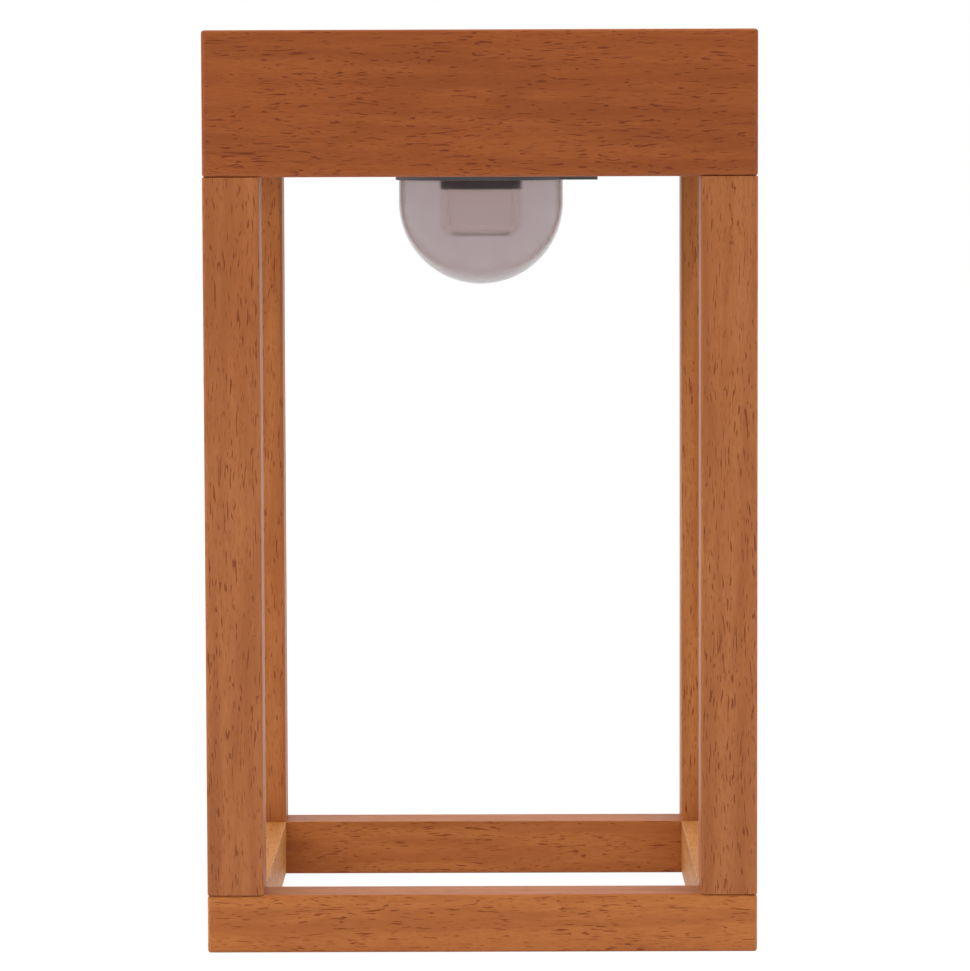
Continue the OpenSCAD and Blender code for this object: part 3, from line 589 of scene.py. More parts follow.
def coated_silicon(name, base, pitch):
    """Polycrystalline silicon under a nitride coating: blue crystals a few millimetres across that each
    turn a little lighter or darker, crossed by printed silver fingers."""
    material, node, place = new_material(name, Roughness=0.3, IOR=1.5)
    crystals = node("VectorMath", {0: place, 1: per_cell(5.5, 4.2, 9)}, operation="MULTIPLY")
    crystals = node("TexVoronoi", {"Vector": crystals, "Scale": 1.0})
    tilt = node("SeparateColor", {0: crystals.outputs["Color"]})
    crystal = {0: tilt, 6: shade(base, 0.55, 0.6, 0.75), 7: shade(base, 1.5, 1.35, 1.2)}
    crystal = node("Mix", crystal, data_type="RGBA")
    # Fingers 0.2 mm wide run front to back; real ones are half as wide and would not show
    across = node("VectorMath", {0: place, 1: per_cell(pitch / MM)}, operation="MULTIPLY")
    near = node("Math", {0: node("SeparateXYZ", {0: across}), 1: 0.5}, operation="PINGPONG")
    finger = {"Value": near, "From Min": 0.435, "From Max": 0.465}
    finger = node("MapRange", finger, interpolation_type="SMOOTHSTEP")
    tone = node("Mix", {0: finger, 6: crystal, 7: linear("#b9bcc0")}, data_type="RGBA")
    silver = node("Math", {0: finger, 1: 0.8}, operation="MULTIPLY")
    return surface(material, finger, 0.03, Base_Color=tone, Metallic=silver)


def tinned_copper(name):
    """Copper ribbon dipped in solder: a soft, slightly lumpy silver skin."""
    dark, light = linear("#b4b5b3"), linear("#d6d6d2")
    return mottled(name, (1.2, 3, 1), 2.0, dark, light, 0.06, Metallic=1.0, Roughness=0.3)


def white_laminate(name, base):
    """Glass-fibre laminate with a white face: the weave just shows through the lacquer."""
    material, node, place = new_material(name, Roughness=0.5, IOR=1.5)
    threads = node("VectorMath", {0: place, 1: per_cell(0.8 / math.pi)}, operation="MULTIPLY")
    threads = node("SeparateXYZ", {0: threads}).outputs
    warp, weft = [node("Math", {0: threads[i]}, operation="SINE") for i in (0, 1)]
    weave = node("Math", {0: warp, 1: weft}, operation="MULTIPLY")
    tone = tones(node, shade(base, 0.95), (weave, -1.0, 1.0, 1.0, shade(base, 1.02)))
    return surface(material, weave, 0.01, Base_Color=tone)


def circuit_board(name, base):
    """Glass-fibre board under solder mask: copper tracks show through as lighter lines, pads are tinned."""
    material, node, place = new_material(name, Roughness=0.35, IOR=1.5)
    grid = node("VectorMath", {0: place, 1: per_cell(2.6)}, operation="MULTIPLY")
    between, track = (0, 0, 0, 1), (1, 1, 1, 1)
    lines = {"Vector": grid, "Color1": between, "Color2": between, "Mortar": track, "Mortar Smooth": 0.2}
    lines.update({"Scale": 1.0, "Brick Width": 1.7, "Row Height": 0.5, "Mortar Size": 0.07})
    tracks = node("TexBrick", lines)
    track_share = node("Math", {0: tracks, 1: 0.6}, operation="MULTIPLY")
    lacquer = node("Mix", {0: track_share, 6: base, 7: shade(base, 2.2, 1.7, 1.8)}, data_type="RGBA")
    pads = {"Value": node("TexVoronoi", {"Vector": grid, "Scale": 0.8}), "From Min": 0.10, "From Max": 0.14}
    pads = node("MapRange", {**pads, "To Min": 1.0, "To Max": 0.0}, interpolation_type="SMOOTHSTEP")
    tone = node("Mix", {0: pads, 6: lacquer, 7: linear("#c9c7c0")}, data_type="RGBA")
    height = node("Math", {0: tracks, 1: pads}, operation="ADD")
    return surface(material, height, 0.035, Base_Color=tone, Metallic=pads)


def light_phosphor(name, base):
    """Silicone with phosphor powder: a yellow, slightly grainy and glossy face."""
    return mottled(name, 0.25, 3.0, shade(base, 0.9), shade(base, 1.08), 0.01, Roughness=0.25, IOR=1.41)


def shrink_sleeve(name, base):
    """Heat-shrunk PVC film over the cell's steel can: glossy, with fine wrinkles round the ends."""
    dark, light = shade(base, 0.9), shade(base, 1.08)
    return mottled(name, (1.1, 3.5, 3.5), 3.0, dark, light, 0.03, Roughness=0.3, IOR=1.53)


# Pieces of the wooden frame

RING_TURNS = {"front": 0, "right": 90, "rear": 180, "left": 270}
RING_GRAIN = {"front": "x", "right": "y", "rear": "x", "left": "y"}


def ring_of_sides(front, pattern, kind, bases, slot, shift):
    """Copies the front side of a mitred ring to the other three and sets each in its node's place."""
    sides = {side: front if side == "front" else copy_of(front) for side in RING_TURNS}
    for side, turn in RING_TURNS.items():
        piece = sides[side]
        node = pattern.format(side)
        piece.rotation_euler.z = math.radians(turn)
        settle(piece, node + "_wood")
        place = [s + turn * MM / 2 for s in shift]
        grain = RING_GRAIN[side]
        wood = oiled_beech(f"oiled_beech_{kind}_{side}", bases[grain], grain, place)
        finish(piece, wood, "frame", slot, node)


def cut_mitres(piece, line):
    """Cuts both ends along the diagonals of the ring, their edges broken so that a fine groove shows."""
    with editing(piece):
        for side in (-1, 1):
            bpy.ops.mesh.select_all(action="SELECT")
            bpy.ops.mesh.bisect(plane_co=(0, 0, 0), plane_no=(side, 1, 0), use_fill=True, clear_outer=True)
    round_edges(piece, line, 1, lambda p: abs(abs(p.x) + p.y) < NEAR / 2)


def round_edges(piece, radius, segments, test):
    """Rounds the sharp edges whose ends pass a test."""
    with editing(piece, "EDGE"):
        select_edges(piece, test)
        bpy.ops.mesh.bevel(offset=radius, segments=segments, affect="EDGES", offset_type="OFFSET")


class LANTERN_OT_base_rails(bpy.types.Operator):
    """Models the four mitred base rails"""

    bl_idname = "lantern.base_rails"
    bl_label = "Base rails"

    def execute(self, context):
        low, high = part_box("base_front_rail")
        rail = block("rail", low, high)
        corner = abs(low.x) - NEAR
        round_edges(rail, sizes().corner_round, 4, lambda p: abs(p.x) > corner and p.y < low.y + NEAR)
        round_edges(rail, sizes().rail_edge, 3, lambda p: p.z > high.z - NEAR)
        round_edges(rail, sizes().foot_edge, 4, lambda p: p.z < low.z + NEAR)
        cut_mitres(rail, sizes().mitre_line)
        # The side rails take the paler copy of the beech, which is painted light and sheen for their lit
        # upper faces
        bases = {"x": colours().rail, "y": colours().side_rail}
        ring_of_sides(rail, "base_{}_rail", "rail", bases, "beech_rail", (0.02, 0.31, 0.07))
        return {"FINISHED"}


class LANTERN_OT_posts(bpy.types.Operator):
    """Models the four posts"""

    bl_idname = "lantern.posts"
    bl_label = "Posts"

    def execute(self, context):
        nodes = ["post_front_left", "post_front_right", "post_rear_left", "post_rear_right"]
        for i, node in enumerate(nodes):
            low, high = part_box(node)
            post = block(node + "_wood", low, high)
            upright = sizes().corner_round
            with editing(post, "EDGE"):
                mesh = bmesh.from_edit_mesh(post.data)
                for edge in mesh.edges:
                    edge.select = abs(edge.verts[0].co.z - edge.verts[1].co.z) > MM
                bmesh.update_edit_mesh(post.data)
                bpy.ops.mesh.bevel(offset=upright, segments=5, affect="EDGES", offset_type="OFFSET")
            eased = sizes().joint_ease
            round_edges(post, eased, 2, lambda p: p.z < low.z + NEAR)
            round_edges(post, eased, 2, lambda p: p.z > high.z - NEAR)
            # The rear posts take the lighter copy of the beech, which is painted light on their faces
            # inside the frame
            base = colours().post if "front" in node else colours().rear_post
            wood = oiled_beech(f"oiled_{node}", base, "z", (0.13 * i, 0.057 * i, 0.021 * i))
            finish(post, wood, "frame", "beech_post", node)
        return {"FINISHED"}


class LANTERN_OT_top_boards(bpy.types.Operator):
    """Models the four mitred top boards with the ledge for the lamp unit"""

    bl_idname = "lantern.top_boards"
    bl_label = "Top boards"

    def execute(self, context):
        low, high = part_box("top_front_board")
        ledge_z = high.z - sizes().ledge_h
        rebate_y = high.y - sizes().ledge_w
        board = block("board", low, (high.x, high.y, ledge_z))
        with editing(board):
            bpy.ops.mesh.select_all(action="SELECT")
            bpy.ops.mesh.bisect(plane_co=(0, rebate_y, 0), plane_no=(0, 1, 0))
            select_faces(board, lambda place, normal: normal.z > 0.5 and place.y < rebate_y)
            bpy.ops.mesh.extrude_region_move(TRANSFORM_OT_translate={"value": (0, 0, high.z - ledge_z)})
        corner = abs(low.x) - NEAR
        round_edges(board, sizes().corner_round, 4, lambda p: abs(p.x) > corner and p.y < low.y + NEAR)
        round_edges(board, sizes().board_edge, 3, lambda p: p.z > high.z - NEAR)
        round_edges(board, sizes().joint_ease, 2, lambda p: p.z < low.z + NEAR)
        cut_mitres(board, sizes().mitre_line)
        bases = {"x": colours().board, "y": colours().board}
        ring_of_sides(board, "top_{}_board", "board", bases, "beech_board", (0.05, 0.17, 0.22))
        return {"FINISHED"}


class LANTERN_OT_dowels(bpy.types.Operator):
    """Models the fluted dowels that join the posts to the rails and the boards"""

    bl_idname = "lantern.dowels"
    bl_label = "Dowels"

    def execute(self, context):
        wood = raw_beech("raw_beech", colours().dowel)
        sides = 36
        for node in ("base_dowels", "top_dowels"):
            places = solids_of(node)
            low, high = places[0]
            tall = high.z - low.z
            radius = (high.x - low.x) / 2
            rod = {"vertices": sides, "radius": radius, "depth": tall, "location": (0, 0, tall / 2)}
            dowel = primitive("dowel", "cylinder", **rod)
            round_edges(dowel, 0.8 * MM, 1, lambda p: True)
            # Every third line of points is drawn in to make a flute
            with editing(dowel, "VERT"):
                mesh = bmesh.from_edit_mesh(dowel.data)
                for vert in mesh.verts:
                    line = round(math.atan2(vert.co.y, vert.co.x) / (2 * math.pi / sides))
                    vert.select = line % 3 == 0
                bmesh.update_edit_mesh(dowel.data)
                flute = 1 - sizes().dowel_flute / radius
                bpy.ops.transform.resize(value=(flute, flute, 1), center_override=(0, 0, tall / 2))
            corners = [(middle(box).x, middle(box).y, box[0].z) for box in places]
            dowels = copies_at(dowel, node + "_fluted", corners)
            finish(dowels, wood, "frame", "dowel_beech", node)
        return {"FINISHED"}


# Pieces of the lamp


class LANTERN_OT_dome(bpy.types.Operator):
    """Models the smoky dome with its flange"""

    bl_idname = "lantern.dome"
    bl_label = "Dome"

    def execute(self, context):
        low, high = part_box("dome_diffuser")
        flange_z = high.z - sizes().dome_flange
        radius = sizes().dome_d / 2
        centre = (0, low.z + radius)
        inner = radius - sizes().dome_wall
        outline = (
            arc(radius, centre, -90, 0, 40)
            + [(radius, flange_z), (high.x, flange_z), (high.x, high.z), (inner, high.z)]
            + arc(inner, centre, 0, -90, 40)
        )
        dome = turned("dome_bowl", outline, 128)
        tint = smoky_polycarbonate("smoky_polycarbonate", colours().smoke)
        finish(dome, tint, "lamp_unit", "smoky_polycarbonate", "dome_diffuser")
        return {"FINISHED"}


class LANTERN_OT_inner_diffuser(bpy.types.Operator):
    """Models the frosted inner diffuser"""

    bl_idname = "lantern.inner_diffuser"
    bl_label = "Inner diffuser"

    def execute(self, context):
        low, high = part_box("inner_diffuser")
        radius = high.x
        wall = sizes().diffuser_wall
        turn = sizes().diffuser_round
        shoulder_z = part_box("led_carrier")[0].z
        spigot = sizes().diffuser_spigot_d / 2
        bore = spigot - MM
        outline = (
            [(0, low.z)]
            + arc(turn, (radius - turn, low.z + turn), -90, 0, 10)
            + [(radius, shoulder_z), (spigot, shoulder_z), (spigot, high.z), (bore, high.z)]
            + arc(turn - wall, (bore - turn + wall, low.z + turn), 0, -90, 8)
            + [(0, low.z + wall)]
        )
        pot = turned("diffuser_pot", outline, 96)
        frost = frosted_polycarbonate("frosted_polycarbonate", colours().frost)
        finish(pot, frost, "lamp_unit", "frosted_polycarbonate", "inner_diffuser")
        return {"FINISHED"}


class LANTERN_OT_light_board(bpy.types.Operator):
    """Models the round light board and its light chips"""

    bl_idname = "lantern.light_board"
    bl_label = "Light board"

    def execute(self, context):
        board = ease(clean_copy("led_board", "light_board_disc"), 0.1 * MM)
        mask = white_laminate("white_solder_mask", colours().white_mask)
        finish(board, mask, "lamp_unit", "white_circuit_board", "led_board")
        white = moulded("white_moulded_nylon", linear("#e9e8e2"), 0.4, 0.2, 0.005)
        glow = light_phosphor("yellow_phosphor", colours().phosphor)
        chips = []
        half = Vector((1.75, 1.4, 0.35)) * MM
        wall, slope, hollow = 0.3 * MM, 0.1 * MM, 0.15 * MM
        for box in solids_of("leds"):
            centre = middle(box)
            chip = block("chip", -half, half)
            with editing(chip):
                select_faces(chip, lambda place, normal: normal.z < -0.5)
                bpy.ops.mesh.inset(thickness=wall)
                bpy.ops.mesh.inset(thickness=slope, depth=-hollow)
            sunk = NEAR - half.z
            coat(chip, white, glow, lambda place, normal: normal.z < -0.9 and sunk < place.z < 0)
            if centre.xy.length > MM:
                chip.rotation_euler.z = math.atan2(centre.y, centre.x)
            chip.location = centre
            chips.append(settle(chip, "chip"))
        lights = joined(chips, "light_chips")
        finish(lights, None, "lamp_unit", "led_phosphor", "leds")
        return {"FINISHED"}


# Pieces of the casing


def eased_copies(material, slot, radius, ending, *nodes):
    """Copies of CAD nodes with rounded edges, on the lamp unit, named after the nodes with an ending."""
    for node in nodes:
        piece = ease(clean_copy(node, node + ending), radius)
        finish(piece, material, "lamp_unit", slot, node)


class LANTERN_OT_casing(bpy.types.Operator):
    """Rounds the edges of the bezel, the housing, the carrier, the door and the small black parts"""

    bl_idname = "lantern.casing"
    bl_label = "Casing"

    def execute(self, context):
        edge = sizes().moulded_edge
        plastic = moulded("dark_moulded_abs", colours().casing)
        paler = moulded("grey_moulded_abs", colours().carrier)
        nylon = moulded("black_glass_filled_nylon", colours().black_part, 0.5, 0.3, 0.02, 1.53)
        black = ("junction_box", "battery_holder", "push_switch")
        eased_copies(plastic, "dark_abs", edge, "_moulding", "panel_bezel", "module_housing")
        eased_copies(paler, "dark_abs", edge, "_moulding", "led_carrier")
        eased_copies(plastic, "dark_abs", edge, "_moulding", "battery_door")
        eased_copies(nylon, "black_nylon", edge / 2, "_moulding", *black)
        return {"FINISHED"}


class LANTERN_OT_seals(bpy.types.Operator):
    """Rounds the seals, the gaskets and the foam pad"""

    bl_idname = "lantern.seals"
    bl_label = "Seals"

    def execute(self, context):
        edge = sizes().rubber_edge
        seal = rubber("epdm_rubber", colours().rubber)
        pad = foam("polyethylene_foam", colours().foam)
        eased_copies(seal, "black_rubber", edge, "_soft", "housing_gasket", "dome_seal", "door_gasket")
        eased_copies(pad, "black_foam", edge, "_soft", "panel_gasket", "battery_pad")
        return {"FINISHED"}


class LANTERN_OT_solar_panel(bpy.types.Operator):
    """Models the panel's glass, and gives the cells, ribbons and backing their finishes"""

    bl_idname = "lantern.solar_panel"
    bl_label = "Solar panel"

    def execute(self, context):
        glass = ease(clean_copy("solar_glass", "panel_glass_sheet"), sizes().glass_edge, 3)
        # A hair of air keeps the glass off the ribbons, which otherwise share a plane with it
        air = 0.03 * MM
        with editing(glass):
            select_faces(glass, lambda place, normal: normal.z < -0.9)
            bpy.ops.transform.translate(value=(0, 0, air))
        finish(glass, float_glass("float_glass"), "lamp_unit", "panel_glass", "solar_glass")
        dress(coated_silicon("coated_silicon", colours().cell, sizes().finger_pitch), "solar_cells")
        dress(tinned_copper("tinned_copper"), "cell_ribbons")
        dress(white_laminate("white_laminate", colours().backing), "panel_backsheet")
        return {"FINISHED"}


class LANTERN_OT_push_button(bpy.types.Operator):
    """Models the push button with its flange and stem, and the switch's plunger"""

    bl_idname = "lantern.push_button"
    bl_label = "Push button"

    def execute(self, context):
        low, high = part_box("mode_button")
        centre = middle((low, high))
        cap = sizes().button_d / 2
        flange = (high.x - low.x) / 2
        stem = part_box("switch_plunger")[1].x - centre.x
        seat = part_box("module_housing")[0].z + 4.5 * MM
        flange_top = seat + 0.8 * MM
        soft = 0.5 * MM
        bevel = 0.15 * MM
        dish = 0.25 * MM
        outline = (
            [(0, low.z + dish), (cap * 0.55, low.z + 0.48 * dish), (cap * 0.68, low.z)]
            + arc(soft, (cap - soft, low.z + soft), -90, 0, 4)
            + [(cap, seat), (flange, seat), (flange, flange_top), (stem, flange_top)]
            + [(stem, high.z - bevel), (stem - bevel, high.z), (0, high.z)]
        )
        button = turned("button_cap", outline, 64)
        button.location = (centre.x, centre.y, 0)
        settle(button, "button_cap")
        silicone = moulded("grey_silicone", colours().button, 0.6, 0.25, 0.01, 1.41)
        finish(button, silicone, "button", "button_rubber", "mode_button")
        plunger = ease(clean_copy("switch_plunger", "switch_plunger_pin"), 0.2 * MM, 3)
        acetal = moulded("red_acetal", colours().plunger, 0.35, 0.2, 0.003, 1.48)
        finish(plunger, acetal, "button", "plunger_plastic", "switch_plunger")
        return {"FINISHED"}


# Fastenings


def cross_screw(name, shank, tall, head, crown, pitch, sunk):
    """A screw with a cross recess, its seat at the origin and its point down: a rolled thread under a
    pan head, or under a countersunk one whose flat top is at the origin."""
    root = shank * 0.82
    if sunk:
        outline = [(0, 0), (head - 0.05 * MM, 0), (head, -0.08 * MM), (shank, -crown)]
        top_z = 0.0
    else:
        outline = [(0, crown), (head * 0.45, crown * 0.98), (head * 0.75, crown * 0.86)]
        outline += [(head * 0.93, crown * 0.62), (head, crown * 0.3), (head * 0.98, 0), (shank, 0)]
        top_z = crown
    z = outline[-1][1] - pitch
    while z - pitch > -tall + shank:
        outline += [(root, z), (shank, z - pitch / 2)]
        z -= pitch
    outline += [(root, z), (root * 0.45, -tall + 0.2 * MM), (0, -tall)]
    screw = turned(name, outline, 28)
    reach, half = head * 0.56, head * 0.11
    for turn in (0, math.pi / 2):
        blade = block("blade", (-reach, -half, top_z - 0.55 * crown), (reach, half, top_z + MM))
        with editing(blade):
            select_faces(blade, lambda place, normal: normal.z < -0.5)
            bpy.ops.transform.resize(value=(0.55, 0.7, 1.0))
        blade.rotation_euler.z = turn
        settle(blade, "blade")
        cut_out(screw, blade)
    return screw


class LANTERN_OT_screws(bpy.types.Operator):
    """Models the screws, one master for each size, and sets a copy in each place"""

    bl_idname = "lantern.screws"
    bl_label = "Screws"

    def execute(self, context):
        steel = plated_steel("zinc_plated_steel", linear("#c3c6c9"))
        # Shank radius, length, head radius, head height and pitch in millimetres
        kinds = {
            "housing_screws": (1.5, 12, 2.8, 2.2, 0.5),
            "carrier_screws": (1.25, 6, 2.2, 1.6, 0.45),
            "board_screws": (1.0, 6, 1.9, 1.3, 0.4),
            "switch_screws": (1.0, 6, 1.9, 1.3, 0.4),
            "door_screws": (1.25, 8, 2.2, 1.1, 0.45),
        }
        for node, size in kinds.items():
            shank, tall, head, crown, pitch = [s * MM for s in size]
            sunk = node == "door_screws"
            upward = sunk or node == "housing_screws"
            rise = 0 if sunk else crown
            places = []
            for box in solids_of(node):
                seat = box[0].z + rise if upward else box[1].z - rise
                places.append((middle(box).x, middle(box).y, seat))
            master = cross_screw("screw", shank, tall, head, crown, pitch, sunk)
            piece = copies_at(master, node + "_steel", places, upward)
            finish(piece, steel, "lamp_unit", "zinc_steel", node)
        return {"FINISHED"}


# Pieces held inside the housing


class LANTERN_OT_battery(bpy.types.Operator):
    """Models the battery cell with its sleeve and cap, and its two contacts"""

    bl_idname = "lantern.battery"
    bl_label = "Battery"

    def execute(self, context):
        low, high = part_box("battery_cell")
        centre = middle((low, high))
        radius = (high.z - low.z) / 2
        tall = high.x - low.x
        nub = 4 * MM
        shoulder = tall - 0.6 * MM
        fold = 0.5 * MM
        groove = radius - 0.35 * MM
        dish = 0.15 * MM
        bevel = 0.2 * MM
        outline = [(0, dish), (radius * 0.8, dish), (radius * 0.84, 0)]
        outline += arc(fold, (radius - fold, fold), -90, 0, 4)
        outline += [(radius, shoulder - 3.2 * MM), (groove, shoulder - 2.6 * MM)]
        outline += [(groove, shoulder - 2.2 * MM), (radius, shoulder - 1.7 * MM)]
        outline += arc(fold, (radius - fold, shoulder - fold), 0, 90, 4)
        outline += [(radius * 0.8, shoulder), (radius * 0.78, shoulder - dish), (nub, shoulder - dish)]
        outline += [(nub, tall - bevel), (nub - bevel, tall), (0, tall)]
        cell = turned("battery_can", outline, 64)
        cell.rotation_euler.y = math.pi / 2
        cell.location = (low.x, centre.y, centre.z)
        settle(cell, "battery_can")
        sleeve = shrink_sleeve("shrink_sleeve", colours().sleeve)
        can = plated_steel("nickel_plated_can", linear("#c9c8c2"), 0.25)
        coat(cell, sleeve, can, lambda place, normal: (place - centre).yz.length < radius * 0.79)
        finish(cell, None, "lamp_unit", "cell_sleeve", "battery_cell")
        nickel = plated_steel("nickel_strip", linear("#cfcdc6"), 0.25)
        eased_copies(nickel, "nickel_strip", 0.08 * MM, "_strip", "contact_plate")
        spring = clean_copy("contact_spring", "contact_spring_wire")
        finish(spring, nickel, "lamp_unit", "nickel_strip", "contact_spring")
        return {"FINISHED"}


class LANTERN_OT_circuit_boards(bpy.types.Operator):
    """Models the two green boards, the components and the wire connectors"""

    bl_idname = "lantern.circuit_boards"
    bl_label = "Circuit boards"

    def execute(self, context):
        mask = circuit_board("green_circuit_board", colours().board_mask)
        eased_copies(mask, "green_circuit_board", 0.08 * MM, "_laminate", "control_board", "switch_board")
        epoxy = moulded("black_epoxy", linear("#26262a"), 0.55, 0.2, 0.01)
        tin = plated_steel("tinned_lead", linear("#c8c8c4"), 0.3)
        can = plated_steel("capacitor_aluminium", linear("#c4c6ca"), 0.35)
        ceramic = moulded("tan_ceramic", linear("#8a7450"), 0.4, 0.2, 0.003)
        parts = []
        # The capacitor is the tall one; the coil is wider than the chip, and the ceramics are small
        capacitor_h, coil_w, chip_w = 5 * MM, 6.5 * MM, 4 * MM
        for low, high in solids_of("board_components"):
            size = high - low
            if size.z > capacitor_h:
                parts.append(component_capacitor(low, high, epoxy, can))
            elif size.x > coil_w:
                parts.append(component_coil(low, high, epoxy))
            elif size.x > chip_w:
                parts.append(component_chip(low, high, epoxy, tin))
            else:
                parts.append(component_ceramic(low, high, ceramic, tin))
        parts = joined(parts, "board_parts")
        finish(parts, None, "lamp_unit", "component_black", "board_components")
        plugs = []
        wall, hollow = 0.7 * MM, 0.8 * MM
        for low, high in solids_of("board_connectors"):
            plug = block("plug", low, high)
            with editing(plug):
                select_faces(plug, lambda place, normal: normal.z > 0.5)
                bpy.ops.mesh.inset(thickness=wall)
                bpy.ops.mesh.extrude_region_move(TRANSFORM_OT_translate={"value": (0, 0, -hollow)})
            plugs.append(ease(plug, 0.15 * MM))
        nylon = moulded("cream_nylon", colours().connector, 0.45, 0.3, 0.01, 1.53)
        finish(joined(plugs, "wire_plugs"), nylon, "lamp_unit", "connector_nylon", "board_connectors")
        return {"FINISHED"}


def stood_at(piece, low, high):
    """Sets a turned component on its place on the board."""
    piece.location = ((low.x + high.x) / 2, (low.y + high.y) / 2, low.z)
    return settle(piece, piece.name)


def component_capacitor(low, high, sleeve, metal):
    """A can with a crimped foot, its sleeve rolled over the top around a bare disc."""
    radius = (high.x - low.x) / 2
    tall = high.z - low.z
    outline = [(0, 0), (radius * 0.9, 0), (radius, 0.3 * MM), (radius, 0.9 * MM)]
    outline += [(radius * 0.9, 1.2 * MM), (radius, 1.5 * MM), (radius, tall - 0.4 * MM)]
    outline += [(radius * 0.86, tall), (radius * 0.76, tall - 0.1 * MM), (0, tall - 0.1 * MM)]
    can = stood_at(turned("capacitor", outline, 32), low, high)
    return coat(can, sleeve, metal, lambda place, normal: normal.z > 0.9)


def component_coil(low, high, ferrite):
    """A shielded coil: a drum with a shallow waist and a rounded top."""
    radius = (high.x - low.x) / 2
    tall = high.z - low.z
    waist = radius * 0.88
    outline = [(0, 0), (radius, 0), (radius, tall * 0.22), (waist, tall * 0.3), (waist, tall * 0.7)]
    outline += [(radius, tall * 0.78), (radius, tall - 0.2 * MM), (radius - 0.2 * MM, tall), (0, tall)]
    return coat(stood_at(turned("coil", outline, 36), low, high), ferrite)


def component_chip(low, high, epoxy, metal):
    """A chip in epoxy with four bent leads on each long side."""
    side = 0.7 * MM
    lead_w, lead_t, rise = 0.4 * MM, 0.2 * MM, 0.55 * MM
    body = block("chip", (low.x, low.y + side, low.z + lead_t / 2), (high.x, high.y - side, high.z))
    pieces = [coat(ease(body, 0.12 * MM), epoxy)]
    for i in range(4):
        x = low.x + (high.x - low.x) / 4 * (i + 0.5)
        for near, far, inward in ((low.y, low.y + side, 1), (high.y - side, high.y, -1)):
            lead = block("lead", (x - lead_w / 2, near, low.z), (x + lead_w / 2, far, low.z + lead_t))
            with editing(lead):
                select_faces(lead, lambda place, normal: normal.y * inward > 0.5)
                bpy.ops.transform.translate(value=(0, 0, rise))
            pieces.append(coat(lead, metal))
    return joined(pieces, "chip")


def component_ceramic(low, high, ceramic, metal):
    """A small ceramic block with tinned ends."""
    end = 0.45 * MM
    near, far = low.y + end, high.y - end
    chip = block("ceramic", low, high)
    with editing(chip):
        for y in (near, far):
            bpy.ops.mesh.select_all(action="SELECT")
            bpy.ops.mesh.bisect(plane_co=(0, y, 0), plane_no=(0, 1, 0))
    return coat(ease(chip, 0.06 * MM), ceramic, metal, lambda place, normal: not near < place.y < far)


class LANTERN_OT_wires(bpy.types.Operator):
    """Models the wires that join the panel, the battery, the lights and the switch to the control board"""

    bl_idname = "lantern.wires"
    bl_label = "Wires"

    def execute(self, context):
        plus = moulded("red_pvc_insulation", colours().plus_wire, 0.4, 0.6, 0.01, 1.53)
        minus = moulded("black_pvc_insulation", colours().minus_wire, 0.4, 0.6, 0.01, 1.53)
        for node in ("panel_leads", "battery_leads", "led_leads", "switch_leads"):
            pair = clean_copy(node, node + "_pair")
            with editing(pair):
                bpy.ops.mesh.separate(type="LOOSE")
            wires = [piece for piece in context.selected_objects if piece.name.startswith(node)]
            wires.sort(key=lambda wire: mean(vert.co.x for vert in wire.data.vertices))
            for wire, pvc, sign in zip(wires, (minus, plus), ("minus", "plus")):
                settle(wire, f"{node}_{sign}")
                finish(wire, pvc, "lamp_unit", "wire_pvc", node)
        return {"FINISHED"}


# Studio


class LANTERN_OT_studio(bpy.types.Operator):
    """Sets up the camera, the lights, the white surroundings and the floor"""

    bl_idname = "lantern.studio"
    bl_label = "Studio"

    def execute(self, context):
        studio = context.scene.lantern_studio
        camera_data = bpy.data.cameras.new("camera")
        camera = bpy.data.objects.new("camera", camera_data)
        context.scene.collection.objects.link(camera)
        camera_data.lens = studio.lens
        camera_data.clip_end = 20.0
        level = Euler((math.pi / 2 - studio.pitch, 0, -studio.yaw)).to_matrix()
        turn = (level @ Matrix.Rotation(studio.roll, 3, "Z")).to_4x4()
        place = Vector((studio.camera_x, studio.camera_y, studio.camera_z))
        camera.matrix_world = Matrix.Translation(place) @ turn
        context.scene.camera = camera
        context.scene.view_settings.view_transform = "Standard"

        soft_light("top_light", (0, 0, 1.5), (0, 0, 0.15), 1.6, studio.top_light)
        soft_light("left_light", (-1.3, -0.2, 1.0), (0, 0, 0.12), 1.2, studio.left_light)
        soft_light("right_light", (1.3, -0.2, 1.0), (0, 0, 0.12), 1.2, studio.right_light)
        soft_light("front_light", (-0.7, -1.3, 0.7), (0, 0, 0.1), 0.9, studio.front_light)

        # White is what the camera, gloss and clear plastic see. Less light reaches matt surfaces, and
        # gloss sees a darker room on the camera's side, which keeps a white veil off the front
        world = bpy.data.worlds.new("surroundings")
        context.scene.world = world
        world.use_nodes = True
        world.node_tree.nodes.clear()
        node = partial(add, world.node_tree)
        path = node("LightPath", {}).outputs
        seen = {0: path["Is Camera Ray"], 1: path["Is Transmission Ray"]}
        seen = node("Math", seen, operation="MAXIMUM")
        depth = node("SeparateXYZ", {0: node("TexCoord", {}).outputs["Generated"]}).outputs[1]
        room = {"Value": depth, "From Min": -0.45, "From Max": 0.05, "To Min": studio.front_gloss}
        room = node("MapRange", room, interpolation_type="SMOOTHSTEP")
        other = node("Mix", {0: path["Is Glossy Ray"], 2: studio.ambient, 3: room}, data_type="FLOAT")
        strength = node("Mix", {0: seen, 2: other, 3: 1.0}, data_type="FLOAT")
        around = node("Background", {"Color": (1, 1, 1, 1), "Strength": strength})
        node("OutputWorld", {"Surface": around})

        floor = primitive("floor", "plane", size=12)
        floor.data.materials.append(white_floor("floor_paper", colours().floor))
        return {"FINISHED"}


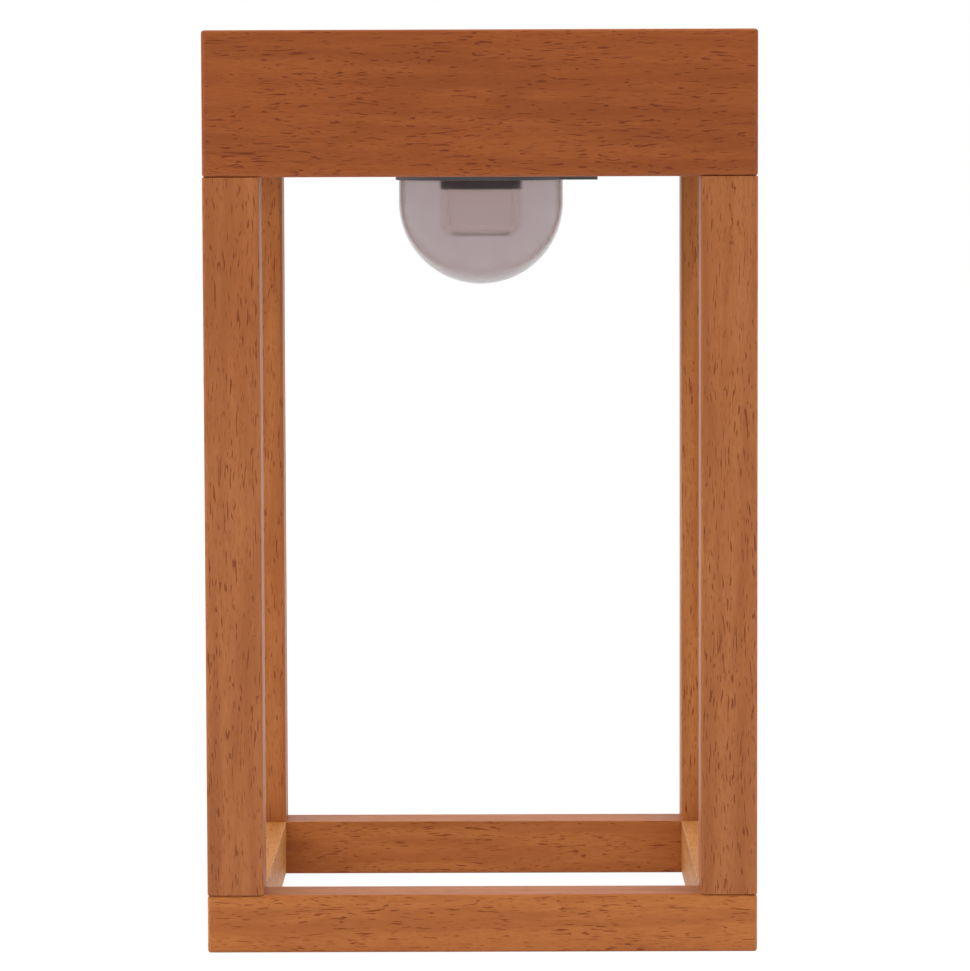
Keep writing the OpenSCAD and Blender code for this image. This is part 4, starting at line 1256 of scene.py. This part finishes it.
def white_floor(name, base):
    """Seamless paper, burnt out to white, that still takes a faint shadow."""
    material, node, place = new_material(name, Roughness=0.9, Specular_IOR_Level=0.0)
    mottle = clouds(node, place, 3, 3.0)
    surface(material, Base_Color=tones(node, base, (mottle, DARK, LIGHT, 1.0, shade(base, 0.985))))
    # The glow grows with distance, so that the far floor stays as white as the surroundings
    away = node("VectorMath", {0: place}, operation="LENGTH")
    glow = {"Value": away, "From Min": 0.3, "From Max": 1.2, "To Min": 1.05, "To Max": 1.25}
    glow = node("MapRange", glow, interpolation_type="SMOOTHSTEP")
    glow = node("Emission", {"Color": (1, 1, 1, 1), "Strength": glow})
    path = node("LightPath", {}).outputs
    seen = path["Is Camera Ray"]
    for ray in ("Is Transmission Ray", "Is Glossy Ray"):
        seen = node("Math", {0: seen, 1: path[ray]}, operation="MAXIMUM")
    # A tenth of the paper's own shade is left, which keeps a faint shadow
    share = node("Math", {0: seen, 1: 0.88}, operation="MULTIPLY")
    nodes = material.node_tree.nodes
    mix = node("MixShader", {0: share, 1: nodes["Principled BSDF"], 2: glow})
    node(nodes["Material Output"], {"Surface": mix})
    return material


def soft_light(name, place, target, size, power):
    """A square area light that faces a point, and shows in no glossy or clear surface."""
    data = bpy.data.lights.new(name, "AREA")
    data.size = size
    data.energy = power
    light = bpy.data.objects.new(name, data)
    bpy.context.scene.collection.objects.link(light)
    away = Vector(place) - Vector(target)
    light.matrix_world = Matrix.Translation(place) @ away.to_track_quat("Z", "Y").to_matrix().to_4x4()
    light.visible_transmission = False
    light.visible_glossy = False


class LANTERN_PT_pieces(bpy.types.Panel):
    """Buttons for the lantern's pieces"""

    bl_idname = "LANTERN_PT_pieces"
    bl_label = "Solar table lantern"
    bl_space_type = "VIEW_3D"
    bl_region_type = "UI"
    bl_category = "Lantern"

    def draw(self, context):
        for operator in OPERATORS:
            self.layout.operator(operator.bl_idname)
        for name in GROUPS:
            group = getattr(context.scene, name)
            for key in group.__annotations__:
                self.layout.prop(group, key)


OPERATORS = (
    LANTERN_OT_studio,
    LANTERN_OT_base_rails,
    LANTERN_OT_posts,
    LANTERN_OT_top_boards,
    LANTERN_OT_dowels,
    LANTERN_OT_dome,
    LANTERN_OT_inner_diffuser,
    LANTERN_OT_light_board,
    LANTERN_OT_casing,
    LANTERN_OT_seals,
    LANTERN_OT_solar_panel,
    LANTERN_OT_push_button,
    LANTERN_OT_screws,
    LANTERN_OT_battery,
    LANTERN_OT_circuit_boards,
    LANTERN_OT_wires,
)
GROUPS = {
    "lantern_sizes": LanternSizes,
    "lantern_colours": LanternColours,
    "lantern_studio": StudioSettings,
}
CLASSES = (*GROUPS.values(), *OPERATORS, LANTERN_PT_pieces)


def register():
    for item in CLASSES:
        bpy.utils.register_class(item)
    for name, group in GROUPS.items():
        setattr(bpy.types.Scene, name, bpy.props.PointerProperty(type=group))


def unregister():
    for name in GROUPS:
        delattr(bpy.types.Scene, name)
    for item in reversed(CLASSES):
        bpy.utils.unregister_class(item)


def main():
    register()
    for operator in OPERATORS:
        getattr(bpy.ops.lantern, operator.bl_idname.split(".")[1])()


if __name__ == "__main__":
    main()
